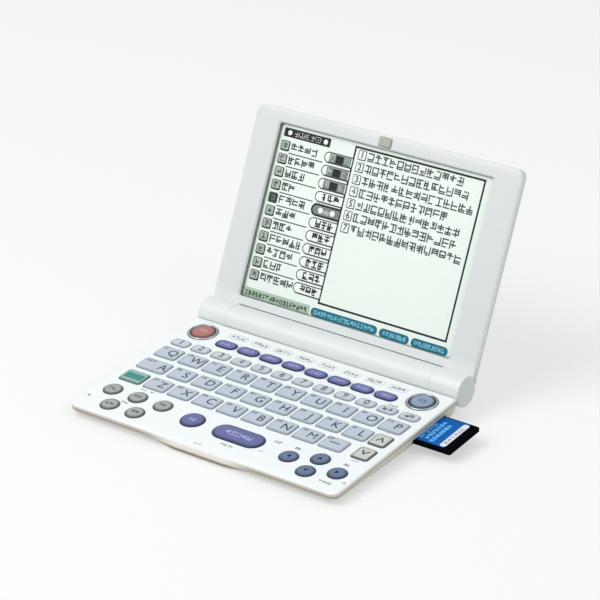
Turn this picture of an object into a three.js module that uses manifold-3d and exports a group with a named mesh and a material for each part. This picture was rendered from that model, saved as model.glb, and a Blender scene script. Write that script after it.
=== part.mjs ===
// Electronic dictionary: a keyboard half and a display half, joined by a barrel hinge.
// Lengths are millimetres. X runs to the right, Y from the user to the hinge, Z up.

import * as THREE from 'three';
import { mergeVertices } from 'three/addons/utils/BufferGeometryUtils.js';
import Module from 'manifold-3d';

const wasm = await Module();
wasm.setup();

// Overall sizes
const baseWidth = 148;
const deckDepth = 93.7;
const wedgeDegrees = 4;
const lidOpenDegrees = 118.4;
const lidSideInset = 0.3;
const lidOverhang = 0.5;
const lidThickness = 5.5;

// Clearances
const seatGap = 0.3;
const keyGap = 0.3;
const barrelGap = 0.4;
const knuckleGap = 0.4;
const cutOverrun = 1;

// Keyboard half, outer shell
const caseWall = 1.5;
const deckThickness = 1.4;
const skirtDepth = 2;
const frontCornerRadius = 4;
const rearCornerRadius = 1.6;
const edgeRound = 0.5;
const tongueGap = 0.5;
const tongueThickness = 1;
const tongueDepth = 0.6;
const undercutReach = 7;
const undercutCornerSpreadShare = 0.5;
const lipFlatHalf = 12;
const lipEndHalf = 36;
const scoopHalf = 30;
const scoopWidth = 1.6;
const scoopDepth = 0.7;

// Hinge barrel and battery bay
const barrelRadius = 7.4;
const hingeDrop = 0.6;
const knuckleSpan = 16.3;
const barrelWall = 1.8;
const heelArcDegrees = 32;
const heelStart = 1.5;
const bayDrop = 2.4;
const bayFrontWall = 1.45;
const bayRearWall = 2.55;
const coverTopDrop = 0.5;
const coverWall = 1.5;
const coverRibHeight = 1.6;
const coverRibThickness = 1;
const coverRibCount = 3;
const gripWidth = 14;
const gripGroove = 0.7;
const gripPitch = 1.6;
const gripDepth = 0.4;
const gripCount = 4;
const partitionThickness = 1.5;
const hingeWall = 4;
const pocketRoof = 1.5;

// Cells and contacts
const cellGap = 0.35;
const contactReach = 5;
const cellNubRadius = 1.9;
const cellNubLength = 1.1;
const contactRim = 0.45;
const contactThickness = 0.5;
const springRadius = 3.2;
const springTipRadius = 1.8;
const contactBossRadius = 2.4;

// Hinge pins
const pinRadius = 3;
const pinHeadRadius = 4.6;
const pinHeadThickness = 1.4;
const pinHeadRoom = 2.4;
const knuckleCap = 3.4;

// Display half
const lidCornerRadius = 4;
const lidFaceOffset = 2;
const lidBevelWidth = 4.5;
const lidBevelDepth = 0.6;
const lidWall = 1.5;
const bezelDepth = 3;
const bezelPlate = 1.6;
const windowSideMargin = 14.35;
const windowTopMargin = 6.6;
const windowBottomRail = 2;
const windowCornerRadius = 1;
const windowDraft = 0.5;
const windowLip = 1;
const windowThickness = 1;
const windowOverlap = 1.4;
const backRound = 2.4;
const backSkin = 1.5;
const lidFootWall = 2.1;
const displayThickness = 1.1;
const displayInset = 1;
const knuckleEdge = 0.6;
const bumperWidth = 6.5;
const bumperDepth = 4.2;
const bumperProud = 0.9;
const bumperSink = 0.3;
const bumperFromTop = 3.6;
const flexWidth = 12;
const flexThickness = 0.3;
const flexFromSide = 13.35;

// Keys
const keyProud = 0.5;
const keyTravel = 0.5;
const flangeThickness = 0.5;
const flangeMargin = 0.7;
const keyCornerRadius = 1.4;
const keyEdge = 0.25;
const webMargin = 0.5;
const letterFieldMargin = 4;
const letterGap = 1.9;
const letterRowGap = 3.5;
const wideKeyExtra = 1.6;
const pageKeyInset = 5.4;
const firstRowFromRear = 34.7;
const lastRowFromFront = 8.97;
const numberRowFromRear = 24.4;
const numberFieldMargin = 3.92;
const numberGap = 2.1;
const numberDepth = 5.6;
const numberCorner = 2.2;
const functionRowFromRear = 14.8;
const functionFieldMargin = 22.68;
const functionGap = 1.6;
const functionDepth = 6;
const greyGap = 3.9;
const arrowGap = 4.1;
const backGap = 1.5;
const enterGap = 1.6;
const ringedKeyRadius = 5.8;
const ringedRowFromRear = 10.7;
const ringInnerRadius = 6.15;
const ringOuterRadius = 7.25;
const ringProud = 0.6;
const ringSink = 0.7;

// Key places, in letter pitches from the middle and in row pitches from the first letter row
const rowCentreShare = 0.04;
const firstRowStartShare = -4.46;
const secondRowStartShare = -3.193;
const thirdRowStartShare = -3.457;
const wideKeyShare = -4.35;
const greenKeyShare = -4.464;
const pageKeyShare = 4.67;
const greyStartShare = -4.571;
const greyStepShare = 0.518;
const greyRowShares = [-3.07, -3.94];
const backKeyShares = [-1.14, -3.28];
const enterKeyShares = [0.707, -3.3];
const powerKeyShare = -4.38;
const roundKeyShare = 4.45;
const arrowShares = {
  left: [2.76, -3.46],
  up: [3.69, -3.035],
  down: [3.7, -3.915],
  right: [4.614, -3.475],
};

// Inside the keyboard half
const sheetSideMargin = 8;
const sheetThickness = 0.4;
const sheetFrontMargin = 6.5;
const sheetRearMargin = 7;
const boardSideMargin = 10;
const boardRoom = 0.1;
const boardThickness = 0.6;
const boardFrontMargin = 8.5;
const boardRearMargin = 8;
const stackGap = 0.3;
const boardGap = 0.2;
const chipHeight = 1.2;
const postRadius = 2;

// Memory card and its socket
const cardWidth = 24;
const cardLength = 32;
const cardThickness = 2.1;
const cardCorner = 4;
const cardFromRear = 22.3;
const cardOut = 18.4;
const cardInsertTravel = 16.5;
const socketRail = 1.2;
const socketFloor = 0.5;
const socketEndInset = 5;
const slotGap = 0.3;
const slotEndGap = 1.2;

// Feet
const footRadius = 3.2;
const footThickness = 1.3;
const footProud = 0.8;
const footFromSide = 14;
const footFromFront = 10.85;
const footFromBay = 0.9;
const rearFootFromHinge = 2.5;

// Facets
const cornerSteps = 2;
const caseCornerSteps = 5;
const circleSteps = 12;
const ringSteps = 16;
const barrelSteps = 16;
const frontSteps = 12;
const hullAngles = [0, 20, 42, 64, 90];

// Places worked out from the sizes above
const wedge = THREE.MathUtils.degToRad(wedgeDegrees);
const quarterTurn = Math.PI / 2;
const halfWidth = baseWidth / 2;
const frontY = -deckDepth / 2;
const rearY = deckDepth / 2;
const partingZ = -skirtDepth - seatGap;
const hingeY = rearY + barrelGap + barrelRadius;
const hingeZ = -hingeDrop;
const flangeTopZ = -deckThickness - seatGap;
const keyBottomZ = flangeTopZ - flangeThickness;
const sheetTopZ = keyBottomZ - keyTravel - stackGap;
const boardTopZ = sheetTopZ - sheetThickness - boardGap;
const boardBottomZ = boardTopZ - boardThickness;
const frontThickness = caseWall + boardRoom - boardBottomZ - boardFrontMargin * Math.tan(wedge);
const cardDrop = sheetThickness + seatGap - sheetTopZ;
const sheetHalfWidth = halfWidth - sheetSideMargin;
const boardHalfWidth = halfWidth - boardSideMargin;

// The middle barrel, with the two cells filling the bay between its contacts
const barrelHalf = halfWidth - knuckleSpan;
const bayHalf = barrelHalf - hingeWall - pinHeadRoom - partitionThickness - seatGap;
const trayRadius = barrelRadius - barrelWall;
const hingeBore = pinRadius + seatGap;
const cellRadius = trayRadius - cellGap;
const cellLength = bayHalf - contactReach;
const contactRadius = cellRadius - contactRim;

// The lid covers the deck when it is shut
const lidHalf = halfWidth - lidSideInset;
const lidWidth = 2 * lidHalf;
const lidLength = deckDepth + barrelGap + barrelRadius + lidOverhang;
const lidPocketBottom = barrelRadius + lidFootWall;
const windowBottom = lidPocketBottom + windowBottomRail;
const windowWidth = lidWidth - 2 * windowSideMargin;
const windowHeight = lidLength - windowBottom - windowTopMargin;
const pinReach = lidHalf - barrelHalf - knuckleCap;

// Key pitches and sizes
const firstRowCount = 10;
const secondRowCount = 8;
const thirdRowCount = 8;
const numberCount = 12;
const functionCount = 8;
const greyCount = 5;
const letterPitch = (baseWidth - 2 * letterFieldMargin) / firstRowCount;
const numberPitch = (baseWidth - 2 * numberFieldMargin) / numberCount;
const functionPitch = (baseWidth - 2 * functionFieldMargin) / functionCount;
const rowPitch = (firstRowFromRear + lastRowFromFront - deckDepth) / greyRowShares.at(-1);
const letterWidth = letterPitch - letterGap;
const letterDepth = rowPitch - letterRowGap;
const wideKeyWidth = letterPitch + wideKeyExtra;
const pageKeyWidth = letterPitch - pageKeyInset;
const numberWidth = numberPitch - numberGap;
const functionWidth = functionPitch - functionGap;
const greyRadius = (rowPitch - greyGap) / 2;
const arrowRadius = (rowPitch - arrowGap) / 2;
const backRadius = (rowPitch - backGap) / 2;
const enterWidth = 2 * letterPitch - enterGap;
const enterDepth = 2 * backRadius;
const deckHeight = footProud + frontThickness * Math.cos(wedge) - frontY * Math.sin(wedge);

const depthAt = (y) => frontThickness + (y - frontY) * Math.tan(wedge);

const finishes = {
  white: new THREE.MeshStandardMaterial({ color: 0xf1f3f5, roughness: 0.42, metalness: 0 }),
  letter: new THREE.MeshStandardMaterial({ color: 0xc3cbe0, roughness: 0.45, metalness: 0 }),
  number: new THREE.MeshStandardMaterial({ color: 0xd0d3e0, roughness: 0.45, metalness: 0 }),
  purple: new THREE.MeshStandardMaterial({ color: 0x6a6aae, roughness: 0.35, metalness: 0 }),
  steelBlue: new THREE.MeshStandardMaterial({ color: 0x6f86b2, roughness: 0.35, metalness: 0 }),
  grey: new THREE.MeshStandardMaterial({ color: 0x8f9296, roughness: 0.4, metalness: 0 }),
  green: new THREE.MeshStandardMaterial({ color: 0x5ba08c, roughness: 0.4, metalness: 0 }),
  red: new THREE.MeshStandardMaterial({ color: 0xbc6c66, roughness: 0.35, metalness: 0 }),
  paleBlue: new THREE.MeshStandardMaterial({ color: 0x8fa6c8, roughness: 0.3, metalness: 0 }),
  beige: new THREE.MeshStandardMaterial({ color: 0xc6c3b8, roughness: 0.5, metalness: 0 }),
  chrome: new THREE.MeshStandardMaterial({ color: 0xd9dce0, roughness: 0.12, metalness: 1 }),
  steel: new THREE.MeshStandardMaterial({ color: 0xa9adb2, roughness: 0.35, metalness: 1 }),
  rubber: new THREE.MeshStandardMaterial({ color: 0xb9b6aa, roughness: 0.85, metalness: 0 }),
  darkRubber: new THREE.MeshStandardMaterial({ color: 0x3b3c3f, roughness: 0.85, metalness: 0 }),
  board: new THREE.MeshStandardMaterial({ color: 0x2f6b46, roughness: 0.6, metalness: 0 }),
  window: new THREE.MeshStandardMaterial({ color: 0xf2faf4, roughness: 0.08, metalness: 0 }),
  display: new THREE.MeshStandardMaterial({ color: 0xe4efe6, roughness: 0.3, metalness: 0 }),
  card: new THREE.MeshStandardMaterial({ color: 0x14161c, roughness: 0.45, metalness: 0 }),
  cell: new THREE.MeshStandardMaterial({ color: 0x4d6f8f, roughness: 0.35, metalness: 0.4 }),
  flex: new THREE.MeshStandardMaterial({ color: 0xb8742c, roughness: 0.5, metalness: 0 }),
};

// Closed solid through a stack of rings with equal point counts
function loft(rings, flat = (point) => new THREE.Vector2(point.x, point.y)) {
  const count = rings[0].length;
  const positions = rings.flatMap((ring) => ring.flatMap((point) => [point.x, point.y, point.z]));
  const index = [];
  for (let level = 0; level < rings.length - 1; level += 1) {
    for (let step = 0; step < count; step += 1) {
      const here = level * count + step;
      const next = level * count + (step + 1) % count;
      index.push(here, next, next + count, here, next + count, here + count);
    }
  }
  const lastStart = (rings.length - 1) * count;
  THREE.ShapeUtils.triangulateShape(rings[0].map(flat), []).forEach(([a, b, c]) => index.push(c, b, a));
  THREE.ShapeUtils.triangulateShape(rings.at(-1).map(flat), [])
    .forEach(([a, b, c]) => index.push(lastStart + a, lastStart + b, lastStart + c));
  const geometry = new THREE.BufferGeometry();
  geometry.setAttribute('position', new THREE.Float32BufferAttribute(positions, 3));
  geometry.setIndex(index);
  return geometry;
}

function solidOf(geometry) {
  const bare = geometry.clone();
  bare.deleteAttribute('normal');
  bare.deleteAttribute('uv');
  const merged = mergeVertices(bare);
  const vertProperties = new Float32Array(merged.attributes.position.array);
  const triVerts = new Uint32Array(merged.index.array);
  return new wasm.Manifold(new wasm.Mesh({ numProp: 3, vertProperties, triVerts }));
}

function geometryOf(solid) {
  const { vertProperties, triVerts } = solid.getMesh();
  const geometry = new THREE.BufferGeometry();
  geometry.setAttribute('position', new THREE.Float32BufferAttribute(vertProperties, 3));
  geometry.setIndex(new THREE.Uint32BufferAttribute(triVerts, 1));
  geometry.computeVertexNormals();
  return geometry;
}

function namedMesh(name, shape, material) {
  const geometry = shape.isBufferGeometry ? shape : geometryOf(shape);
  const mesh = new THREE.Mesh(geometry, material);
  mesh.name = name;
  return mesh;
}

const union = (solids) => solids.reduce((total, solid) => total.add(solid));

function box(x0, x1, y0, y1, z0, z1) {
  const geometry = new THREE.BoxGeometry(x1 - x0, y1 - y0, z1 - z0);
  geometry.translate((x0 + x1) / 2, (y0 + y1) / 2, (z0 + z1) / 2);
  return solidOf(geometry);
}

// Cylinder or cone along Z
function disc(x, y, z0, z1, radius, topRadius = radius, steps = circleSteps) {
  const geometry = new THREE.CylinderGeometry(topRadius, radius, z1 - z0, steps);
  geometry.rotateX(Math.PI / 2);
  geometry.translate(x, y, (z0 + z1) / 2);
  return solidOf(geometry);
}

// Stepped round piece along X, given as pairs of place and radius
function turned(stations, y, z, steps = circleSteps) {
  const ends = [[stations[0][0], 0], ...stations, [stations.at(-1)[0], 0]];
  const geometry = new THREE.LatheGeometry(ends.map(([x, radius]) => new THREE.Vector2(radius, x)), steps);
  geometry.rotateZ(-Math.PI / 2);
  geometry.translate(0, y, z);
  return solidOf(geometry);
}

// Stations of a turned piece for the right side, or turned over for the left
function mirrored(stations, side) {
  return side > 0 ? stations : stations.map(([x, radius]) => [-x, radius]).reverse();
}

// Prism along X of a profile given as pairs of Y and Z
function prism(profile, x0, x1) {
  const ring = (x) => profile.map(([y, z]) => new THREE.Vector3(x, y, z));
  const solid = solidOf(loft([ring(x0), ring(x1)], (point) => new THREE.Vector2(point.y, point.z)));
  return solid;
}

// Arc points in the YZ plane round a centre, as pairs of Y and Z
function arcPoints(y, z, radius, fromDegrees, toDegrees, steps) {
  return Array.from({ length: steps + 1 }, (_, step) => {
    const angle = THREE.MathUtils.degToRad(fromDegrees + (toDegrees - fromDegrees) * step / steps);
    return [y + radius * Math.cos(angle), z + radius * Math.sin(angle)];
  });
}

// Rounded rectangle, anticlockwise, round a centre
function roundedOutline(x, y, width, depth, radius, steps = cornerSteps) {
  const corners = [[1, -1, -1], [1, 1, 0], [-1, 1, 1], [-1, -1, 2]];
  return corners.flatMap(([sideX, sideY, turn]) => Array.from({ length: steps + 1 }, (_, step) => {
    const angle = quarterTurn * (turn + step / steps);
    return new THREE.Vector2(
      x + sideX * (width / 2 - radius) + radius * Math.cos(angle),
      y + sideY * (depth / 2 - radius) + radius * Math.sin(angle),
    );
  }));
}

function circleOutline(x, y, radius, steps = circleSteps) {
  return Array.from({ length: steps }, (_, step) => {
    const angle = 2 * Math.PI * step / steps;
    return new THREE.Vector2(x + radius * Math.cos(angle), y + radius * Math.sin(angle));
  });
}

const atHeight = (outline, z) => outline.map((point) => new THREE.Vector3(point.x, point.y, z));

const column = (outline, z0, z1) => solidOf(loft([atHeight(outline, z0), atHeight(outline, z1)]));

// Outline of the keyboard half. The undercut draws it in, except at the thumb lip in front.
function caseOutline(inset, undercut = 0) {
  const lipShare = (x) => THREE.MathUtils.smoothstep(Math.abs(x), lipFlatHalf, lipEndHalf);
  const side = halfWidth - inset - undercut;
  const front = frontY + inset;
  const rear = rearY - inset - undercut;
  const frontRadius = frontCornerRadius - inset + undercut * undercutCornerSpreadShare;
  const rearRadius = Math.max(rearCornerRadius - inset, edgeRound) + undercut * undercutCornerSpreadShare;
  const points = [];
  for (let step = 0; step <= frontSteps; step += 1) {
    const x = (side - frontRadius) * (2 * step / frontSteps - 1);
    points.push(new THREE.Vector2(x, front + undercut * lipShare(x)));
  }
  const arc = (x, y, radius, turn) => {
    for (let step = 1; step <= caseCornerSteps; step += 1) {
      const angle = quarterTurn * (turn + step / caseCornerSteps);
      points.push(new THREE.Vector2(x + radius * Math.cos(angle), y + radius * Math.sin(angle)));
    }
  };
  arc(side - frontRadius, front + undercut + frontRadius, frontRadius, -1);
  points.push(new THREE.Vector2(side, rear - rearRadius));
  arc(side - rearRadius, rear - rearRadius, rearRadius, 0);
  points.push(new THREE.Vector2(-side + rearRadius, rear));
  arc(-side + rearRadius, rear - rearRadius, rearRadius, 1);
  points.push(new THREE.Vector2(-side, front + undercut + frontRadius));
  arc(-side + frontRadius, front + undercut + frontRadius, frontRadius, 2);
  points.pop();
  return points;
}

// Keys. Each one is described by its outline, grown or shrunk by an offset.
const firstRowY = rearY - firstRowFromRear;
const keyX = (share) => share * letterPitch;
const keyY = (share) => firstRowY + share * rowPitch;

function boxKey(x, y, width, depth, radius = keyCornerRadius) {
  return (offset) => roundedOutline(x, y, width + 2 * offset, depth + 2 * offset, radius + offset);
}

function pillKey(x, y, width, depth) {
  const steps = circleSteps / 4;
  return (offset) => roundedOutline(x, y, width + 2 * offset, depth + 2 * offset,
    Math.min(width, depth) / 2 + offset, steps).filter((point, at, all) => {
    const before = all[(at + all.length - 1) % all.length];
    return point.distanceTo(before) > Number.EPSILON * letterPitch;
  });
}

const roundKey = (x, y, radius) => (offset) => circleOutline(x, y, radius + offset);

function capLevels(bottomZ) {
  return [[bottomZ, 0], [keyProud - keyEdge, 0], [keyProud, -keyEdge]];
}

function singleKey(outlineAt) {
  const levels = [[keyBottomZ, flangeMargin], [flangeTopZ, flangeMargin], ...capLevels(flangeTopZ)];
  return solidOf(loft(levels.map(([z, offset]) => atHeight(outlineAt(offset), z))));
}

// Caps of one row on a common web under the deck
function keyStrip(outlines, y, depth) {
  const webZ = (flangeTopZ + keyBottomZ) / 2;
  const caps = outlines.map((outlineAt) => solidOf(
    loft(capLevels(webZ).map(([z, offset]) => atHeight(outlineAt(offset), z))),
  ));
  const xs = outlines.flatMap((outlineAt) => outlineAt(webMargin).map((point) => point.x));
  const x0 = Math.min(...xs);
  const x1 = Math.max(...xs);
  const web = roundedOutline((x0 + x1) / 2, y, x1 - x0, depth + 2 * webMargin, keyCornerRadius);
  return union([column(web, keyBottomZ, flangeTopZ), ...caps]);
}

const numberY = rearY - numberRowFromRear;
const functionY = rearY - functionRowFromRear;
const ringedY = rearY - ringedRowFromRear;
const rowX = (at, count, pitch) => keyX(rowCentreShare) + (at - (count - 1) / 2) * pitch;
const repeated = (count, make) => Array.from({ length: count }, (_, at) => make(at));

const letterAt = (startShare, row) => (at) => (
  boxKey(keyX(startShare + at), keyY(-row), letterWidth, letterDepth)
);
const firstRow = repeated(firstRowCount, letterAt(firstRowStartShare, 0));
const secondRow = [
  boxKey(keyX(wideKeyShare), keyY(-1), wideKeyWidth, letterDepth),
  ...repeated(secondRowCount, letterAt(secondRowStartShare, 1)),
];
const thirdRow = repeated(thirdRowCount, letterAt(thirdRowStartShare, 2));
const numberRow = repeated(numberCount, (at) => boxKey(
  rowX(at, numberCount, numberPitch), numberY, numberWidth, numberDepth, numberCorner,
));
const keyStrips = {
  number_row_keys: { outlines: numberRow, y: numberY, depth: numberDepth, finish: finishes.number },
  letter_row_1_keys: { outlines: firstRow, y: keyY(0), depth: letterDepth, finish: finishes.letter },
  letter_row_2_keys: { outlines: secondRow, y: keyY(-1), depth: letterDepth, finish: finishes.letter },
  letter_row_3_keys: { outlines: thirdRow, y: keyY(-2), depth: letterDepth, finish: finishes.letter },
};

const greyOutlines = repeated(greyCount, (at) => roundKey(
  keyX(greyStartShare + greyStepShare * at), keyY(greyRowShares[at % 2]), greyRadius,
));
const functionOutlines = repeated(functionCount, (at) => pillKey(
  rowX(at, functionCount, functionPitch), functionY, functionWidth, functionDepth,
));
const singleKeys = {
  power_key: { outline: roundKey(keyX(powerKeyShare), ringedY, ringedKeyRadius), finish: finishes.red },
  round_key: {
    outline: roundKey(keyX(roundKeyShare), ringedY, ringedKeyRadius),
    finish: finishes.paleBlue,
  },
  ...Object.fromEntries(functionOutlines.map((outline, at) => (
    [`function_key_${at + 1}`, { outline, finish: finishes.purple }]
  ))),
  green_key: {
    outline: boxKey(keyX(greenKeyShare), keyY(-2), letterWidth, letterDepth),
    finish: finishes.green,
  },
  page_up_key: {
    outline: boxKey(keyX(pageKeyShare), keyY(-1), pageKeyWidth, letterDepth),
    finish: finishes.beige,
  },
  page_down_key: {
    outline: boxKey(keyX(pageKeyShare), keyY(-2), pageKeyWidth, letterDepth),
    finish: finishes.beige,
  },
  ...Object.fromEntries(greyOutlines.map((outline, at) => (
    [`grey_key_${at + 1}`, { outline, finish: finishes.grey }]
  ))),
  back_key: {
    outline: roundKey(keyX(backKeyShares[0]), keyY(backKeyShares[1]), backRadius),
    finish: finishes.purple,
  },
  enter_key: {
    outline: pillKey(keyX(enterKeyShares[0]), keyY(enterKeyShares[1]), enterWidth, enterDepth),
    finish: finishes.purple,
  },
  ...Object.fromEntries(Object.entries(arrowShares).map(([side, [x, y]]) => (
    [`arrow_${side}_key`, { outline: roundKey(keyX(x), keyY(y), arrowRadius), finish: finishes.steelBlue }]
  ))),
};

// Top cover: skirted plate with a tongue, a thumb scoop, key holes and ring seats
function topCover() {
  const shell = solidOf(loft([
    atHeight(caseOutline(0), -skirtDepth),
    atHeight(caseOutline(0), -edgeRound),
    atHeight(caseOutline(edgeRound), 0),
  ]));
  const tongueInset = caseWall + tongueGap;
  const tongueZ = -skirtDepth - tongueDepth;
  const tongue = column(caseOutline(tongueInset), tongueZ, -deckThickness / 2);
  const inside = column(caseOutline(tongueInset + tongueThickness), tongueZ - cutOverrun, -deckThickness);
  const rearCut = box(-barrelHalf, barrelHalf, rearY - tongueInset - tongueThickness - rearCornerRadius,
    rearY + cutOverrun, tongueZ - cutOverrun, -deckThickness);
  const scoop = prism([
    [frontY - cutOverrun, -scoopDepth - scoopDepth * cutOverrun / scoopWidth],
    [frontY + scoopWidth + cutOverrun, scoopDepth * cutOverrun / scoopWidth],
    [frontY - cutOverrun, scoopDepth + cutOverrun],
  ], -scoopHalf, scoopHalf);
  const holes = [...Object.values(keyStrips).flatMap(({ outlines }) => outlines),
    ...Object.values(singleKeys).map(({ outline }) => outline)];
  const cutters = holes.map((outlineAt) => (
    column(outlineAt(keyGap), -deckThickness - cutOverrun, cutOverrun)
  ));
  const seats = [powerKeyShare, roundKeyShare].map((share) => (
    disc(keyX(share), ringedY, -ringSink - seatGap, cutOverrun, ringOuterRadius + seatGap,
      ringOuterRadius + seatGap, ringSteps)
  ));
  return union([shell, tongue])
    .subtract(union([inside, rearCut, scoop, ...cutters, ...seats]));
}

// Level ring of the wedge-shaped hull at one angle of its undercut curve
function hullRing(degrees, wall, floor) {
  const angle = THREE.MathUtils.degToRad(degrees);
  return caseOutline(wall, undercutReach * (1 - Math.cos(angle))).map((point) => {
    const drop = (depthAt(point.y) - floor + partingZ) * Math.sin(angle);
    return new THREE.Vector3(point.x, point.y, partingZ - drop);
  });
}

const floorZ = (y) => -depthAt(y);

// Outer profile of the rear of the case, under the hinge barrel, from the floor up to the axis
function heelCurve() {
  const [arcY, arcZ] = arcPoints(hingeY, hingeZ, barrelRadius, -heelArcDegrees, 0, 1)[0];
  const start = hingeY + heelStart;
  const curve = new THREE.QuadraticBezierCurve(
    new THREE.Vector2(start, floorZ(start)),
    new THREE.Vector2(arcY, floorZ(arcY)),
    new THREE.Vector2(arcY, arcZ),
  );
  return curve.getPoints(caseCornerSteps).map((point) => [point.x, point.y]);
}

const tipDegrees = THREE.MathUtils.radToDeg(Math.asin(seatGap / barrelRadius));
const trayTipDegrees = THREE.MathUtils.radToDeg(Math.asin(seatGap / trayRadius));

function heelProfile() {
  const inner = rearY - 2 * caseWall;
  return [
    [inner, floorZ(inner)],
    ...heelCurve(),
    ...arcPoints(hingeY, hingeZ, barrelRadius, -heelArcDegrees, -tipDegrees, caseCornerSteps).slice(1),
    [hingeY - barrelRadius, hingeZ - seatGap],
    [hingeY - barrelRadius, partingZ],
    [inner, partingZ],
  ];
}

function heelSolid(half) {
  return prism(heelProfile(), -half, half);
}

// Half discs that close the barrel at the battery bay and at the hinge pins
function barrelWalls(upper) {
  const from = upper ? 0 : -180 + trayTipDegrees;
  const to = upper ? 180 : -trayTipDegrees;
  const radius = (trayRadius + barrelRadius) / 2;
  const half = arcPoints(hingeY, hingeZ, radius, from, to, barrelSteps / 2);
  const spans = [[bayHalf + seatGap, partitionThickness], [barrelHalf - hingeWall, hingeWall]];
  return spans.flatMap(([start, thickness]) => [
    prism(half, start, start + thickness),
    prism(half, -start - thickness, -start),
  ]);
}

const pinBores = [1, -1].map((side) => {
  const places = [side * (barrelHalf - hingeWall - cutOverrun), side * (barrelHalf + cutOverrun)];
  places.sort((a, b) => a - b);
  return turned(places.map((x) => [x, hingeBore]), hingeY, hingeZ);
});

function postPlaces() {
  const postX = boardHalfWidth - 2 * postRadius;
  return [[-postX, keyY(-2)], [postX, keyY(-2)], [-postX, keyY(1)], [0, keyY(1)], [0, keyY(-2)]];
}

// Bottom cover: hull with the battery bay and the lower half of the barrel at its rear
function bottomCover() {
  const hull = solidOf(loft(hullAngles.map((angle) => hullRing(angle, 0, 0)).reverse()));
  const insideRings = hullAngles.map((angle) => hullRing(angle, caseWall, caseWall));
  insideRings.unshift(insideRings[0].map((point) => point.clone().setZ(point.z + cutOverrun)));
  const inside = solidOf(loft(insideRings.reverse()));
  const tray = turned([[-barrelHalf + hingeWall, trayRadius], [barrelHalf - hingeWall, trayRadius]],
    hingeY, hingeZ, barrelSteps);
  const pocketRear = bayFrontY - caseWall;
  const pocketFront = rearY - undercutReach - 2 * caseWall;
  const pocketTop = partingZ - pocketRoof;
  const pocket = prism([
    [pocketFront, floorZ(pocketFront) + caseWall],
    [pocketRear, floorZ(pocketRear) + caseWall],
    [pocketRear, pocketTop],
    [rearY - caseWall, pocketTop],
    [rearY - caseWall, partingZ + cutOverrun],
    [pocketFront, partingZ + cutOverrun],
  ], -barrelHalf + caseWall, barrelHalf - caseWall);
  const bay = prism(bayProfile(), -bayHalf, bayHalf);
  const posts = postPlaces().map(([x, y]) => (
    disc(x, y, floorZ(y) + caseWall / 2, boardBottomZ - seatGap, postRadius)
  ));
  const slot = box(halfWidth - socketEndInset - cutOverrun, halfWidth + cutOverrun,
    cardY - cardWidth / 2 - slotEndGap, cardY + cardWidth / 2 + slotEndGap,
    -cardDrop - cardThickness - slotGap, -cardDrop + slotGap);
  const footSeats = feetPlaces.map(({ x, y }) => onFloor(
    disc(x, y, -cutOverrun, footThickness + seatGap, footRadius + seatGap),
  ));
  const walled = union([hull.subtract(inside), heelSolid(barrelHalf)])
    .subtract(union([pocket, tray]));
  return union([walled, ...barrelWalls(false), ...posts])
    .subtract(union([bay, slot, ...footSeats, ...pinBores]));
}

const bayFrontY = hingeY - barrelRadius + bayFrontWall;
const bayRearY = hingeY + barrelRadius - bayRearWall;
const coverEdgeZ = hingeZ - barrelRadius - coverTopDrop;

// Space through which the cells go in, down to the floor and out under the rear wall
function bayProfile() {
  const top = hingeZ - bayDrop;
  const below = floorZ(bayRearY) - cutOverrun;
  const beyond = hingeY + barrelRadius + cutOverrun;
  return [[bayFrontY, below], [beyond, below], [beyond, coverEdgeZ], [bayRearY, coverEdgeZ],
    [bayRearY, top], [bayFrontY, top]];
}

// Battery cover: floor of the bay with an upturned rear edge, ribs inside and a thumb grip outside
function batteryCover() {
  const front = bayFrontY + seatGap;
  const rear = bayRearY - seatGap;
  const top = coverEdgeZ - seatGap;
  const half = bayHalf - seatGap;
  const beyond = hingeY + barrelRadius + cutOverrun;
  const bounds = prism([
    [front, floorZ(beyond) - cutOverrun],
    [beyond, floorZ(beyond) - cutOverrun],
    [beyond, top],
    [front, top],
  ], -half, half);
  const hollow = prism([
    [front - cutOverrun, floorZ(front - cutOverrun) + coverWall],
    [rear - coverWall / 2, floorZ(rear) + coverWall],
    [rear, floorZ(rear) + 2 * coverWall],
    [rear, top + cutOverrun],
    [front - cutOverrun, top + cutOverrun],
  ], -half - cutOverrun, half + cutOverrun);
  const ribs = repeated(coverRibCount, (at) => {
    const x = half * (2 * (at + 1) / (coverRibCount + 1) - 1);
    return prism([
      [front + coverWall, floorZ(front) + coverWall / 2],
      [rear - coverWall, floorZ(rear) + coverWall / 2],
      [rear - coverWall, floorZ(front) + coverWall + coverRibHeight],
      [front + coverWall, floorZ(front) + coverWall + coverRibHeight],
    ], x - coverRibThickness / 2, x + coverRibThickness / 2);
  });
  const grooves = repeated(gripCount, (at) => {
    const y = (front + rear) / 2 + gripPitch * (at - gripCount / 2);
    return prism([
      [y, floorZ(y) - cutOverrun],
      [y + gripGroove, floorZ(y) - cutOverrun],
      [y + gripGroove, floorZ(y) + gripDepth],
      [y, floorZ(y) + gripDepth],
    ], -gripWidth / 2, gripWidth / 2);
  });
  return union([heelSolid(half).intersect(bounds).subtract(hollow), ...ribs]).subtract(union(grooves));
}

// Upper half of the hinge barrel
function barrelCover() {
  const outer = arcPoints(hingeY, hingeZ, barrelRadius, 0, 180, barrelSteps);
  const inner = arcPoints(hingeY, hingeZ, trayRadius, 180, 0, barrelSteps / 2);
  return union([prism([...outer, ...inner], -barrelHalf, barrelHalf), ...barrelWalls(true)])
    .subtract(union(pinBores));
}

// Two cells in line and their contacts
const cellSpan = 2 * cellLength + seatGap;
const contactX = bayHalf - contactThickness;

function cell(startX) {
  const shoulder = startX + cellLength - cellNubLength;
  return turned([[startX, cellRadius], [shoulder, cellRadius], [shoulder, cellNubRadius],
    [startX + cellLength, cellNubRadius]], hingeY, hingeZ, ringSteps);
}

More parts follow.
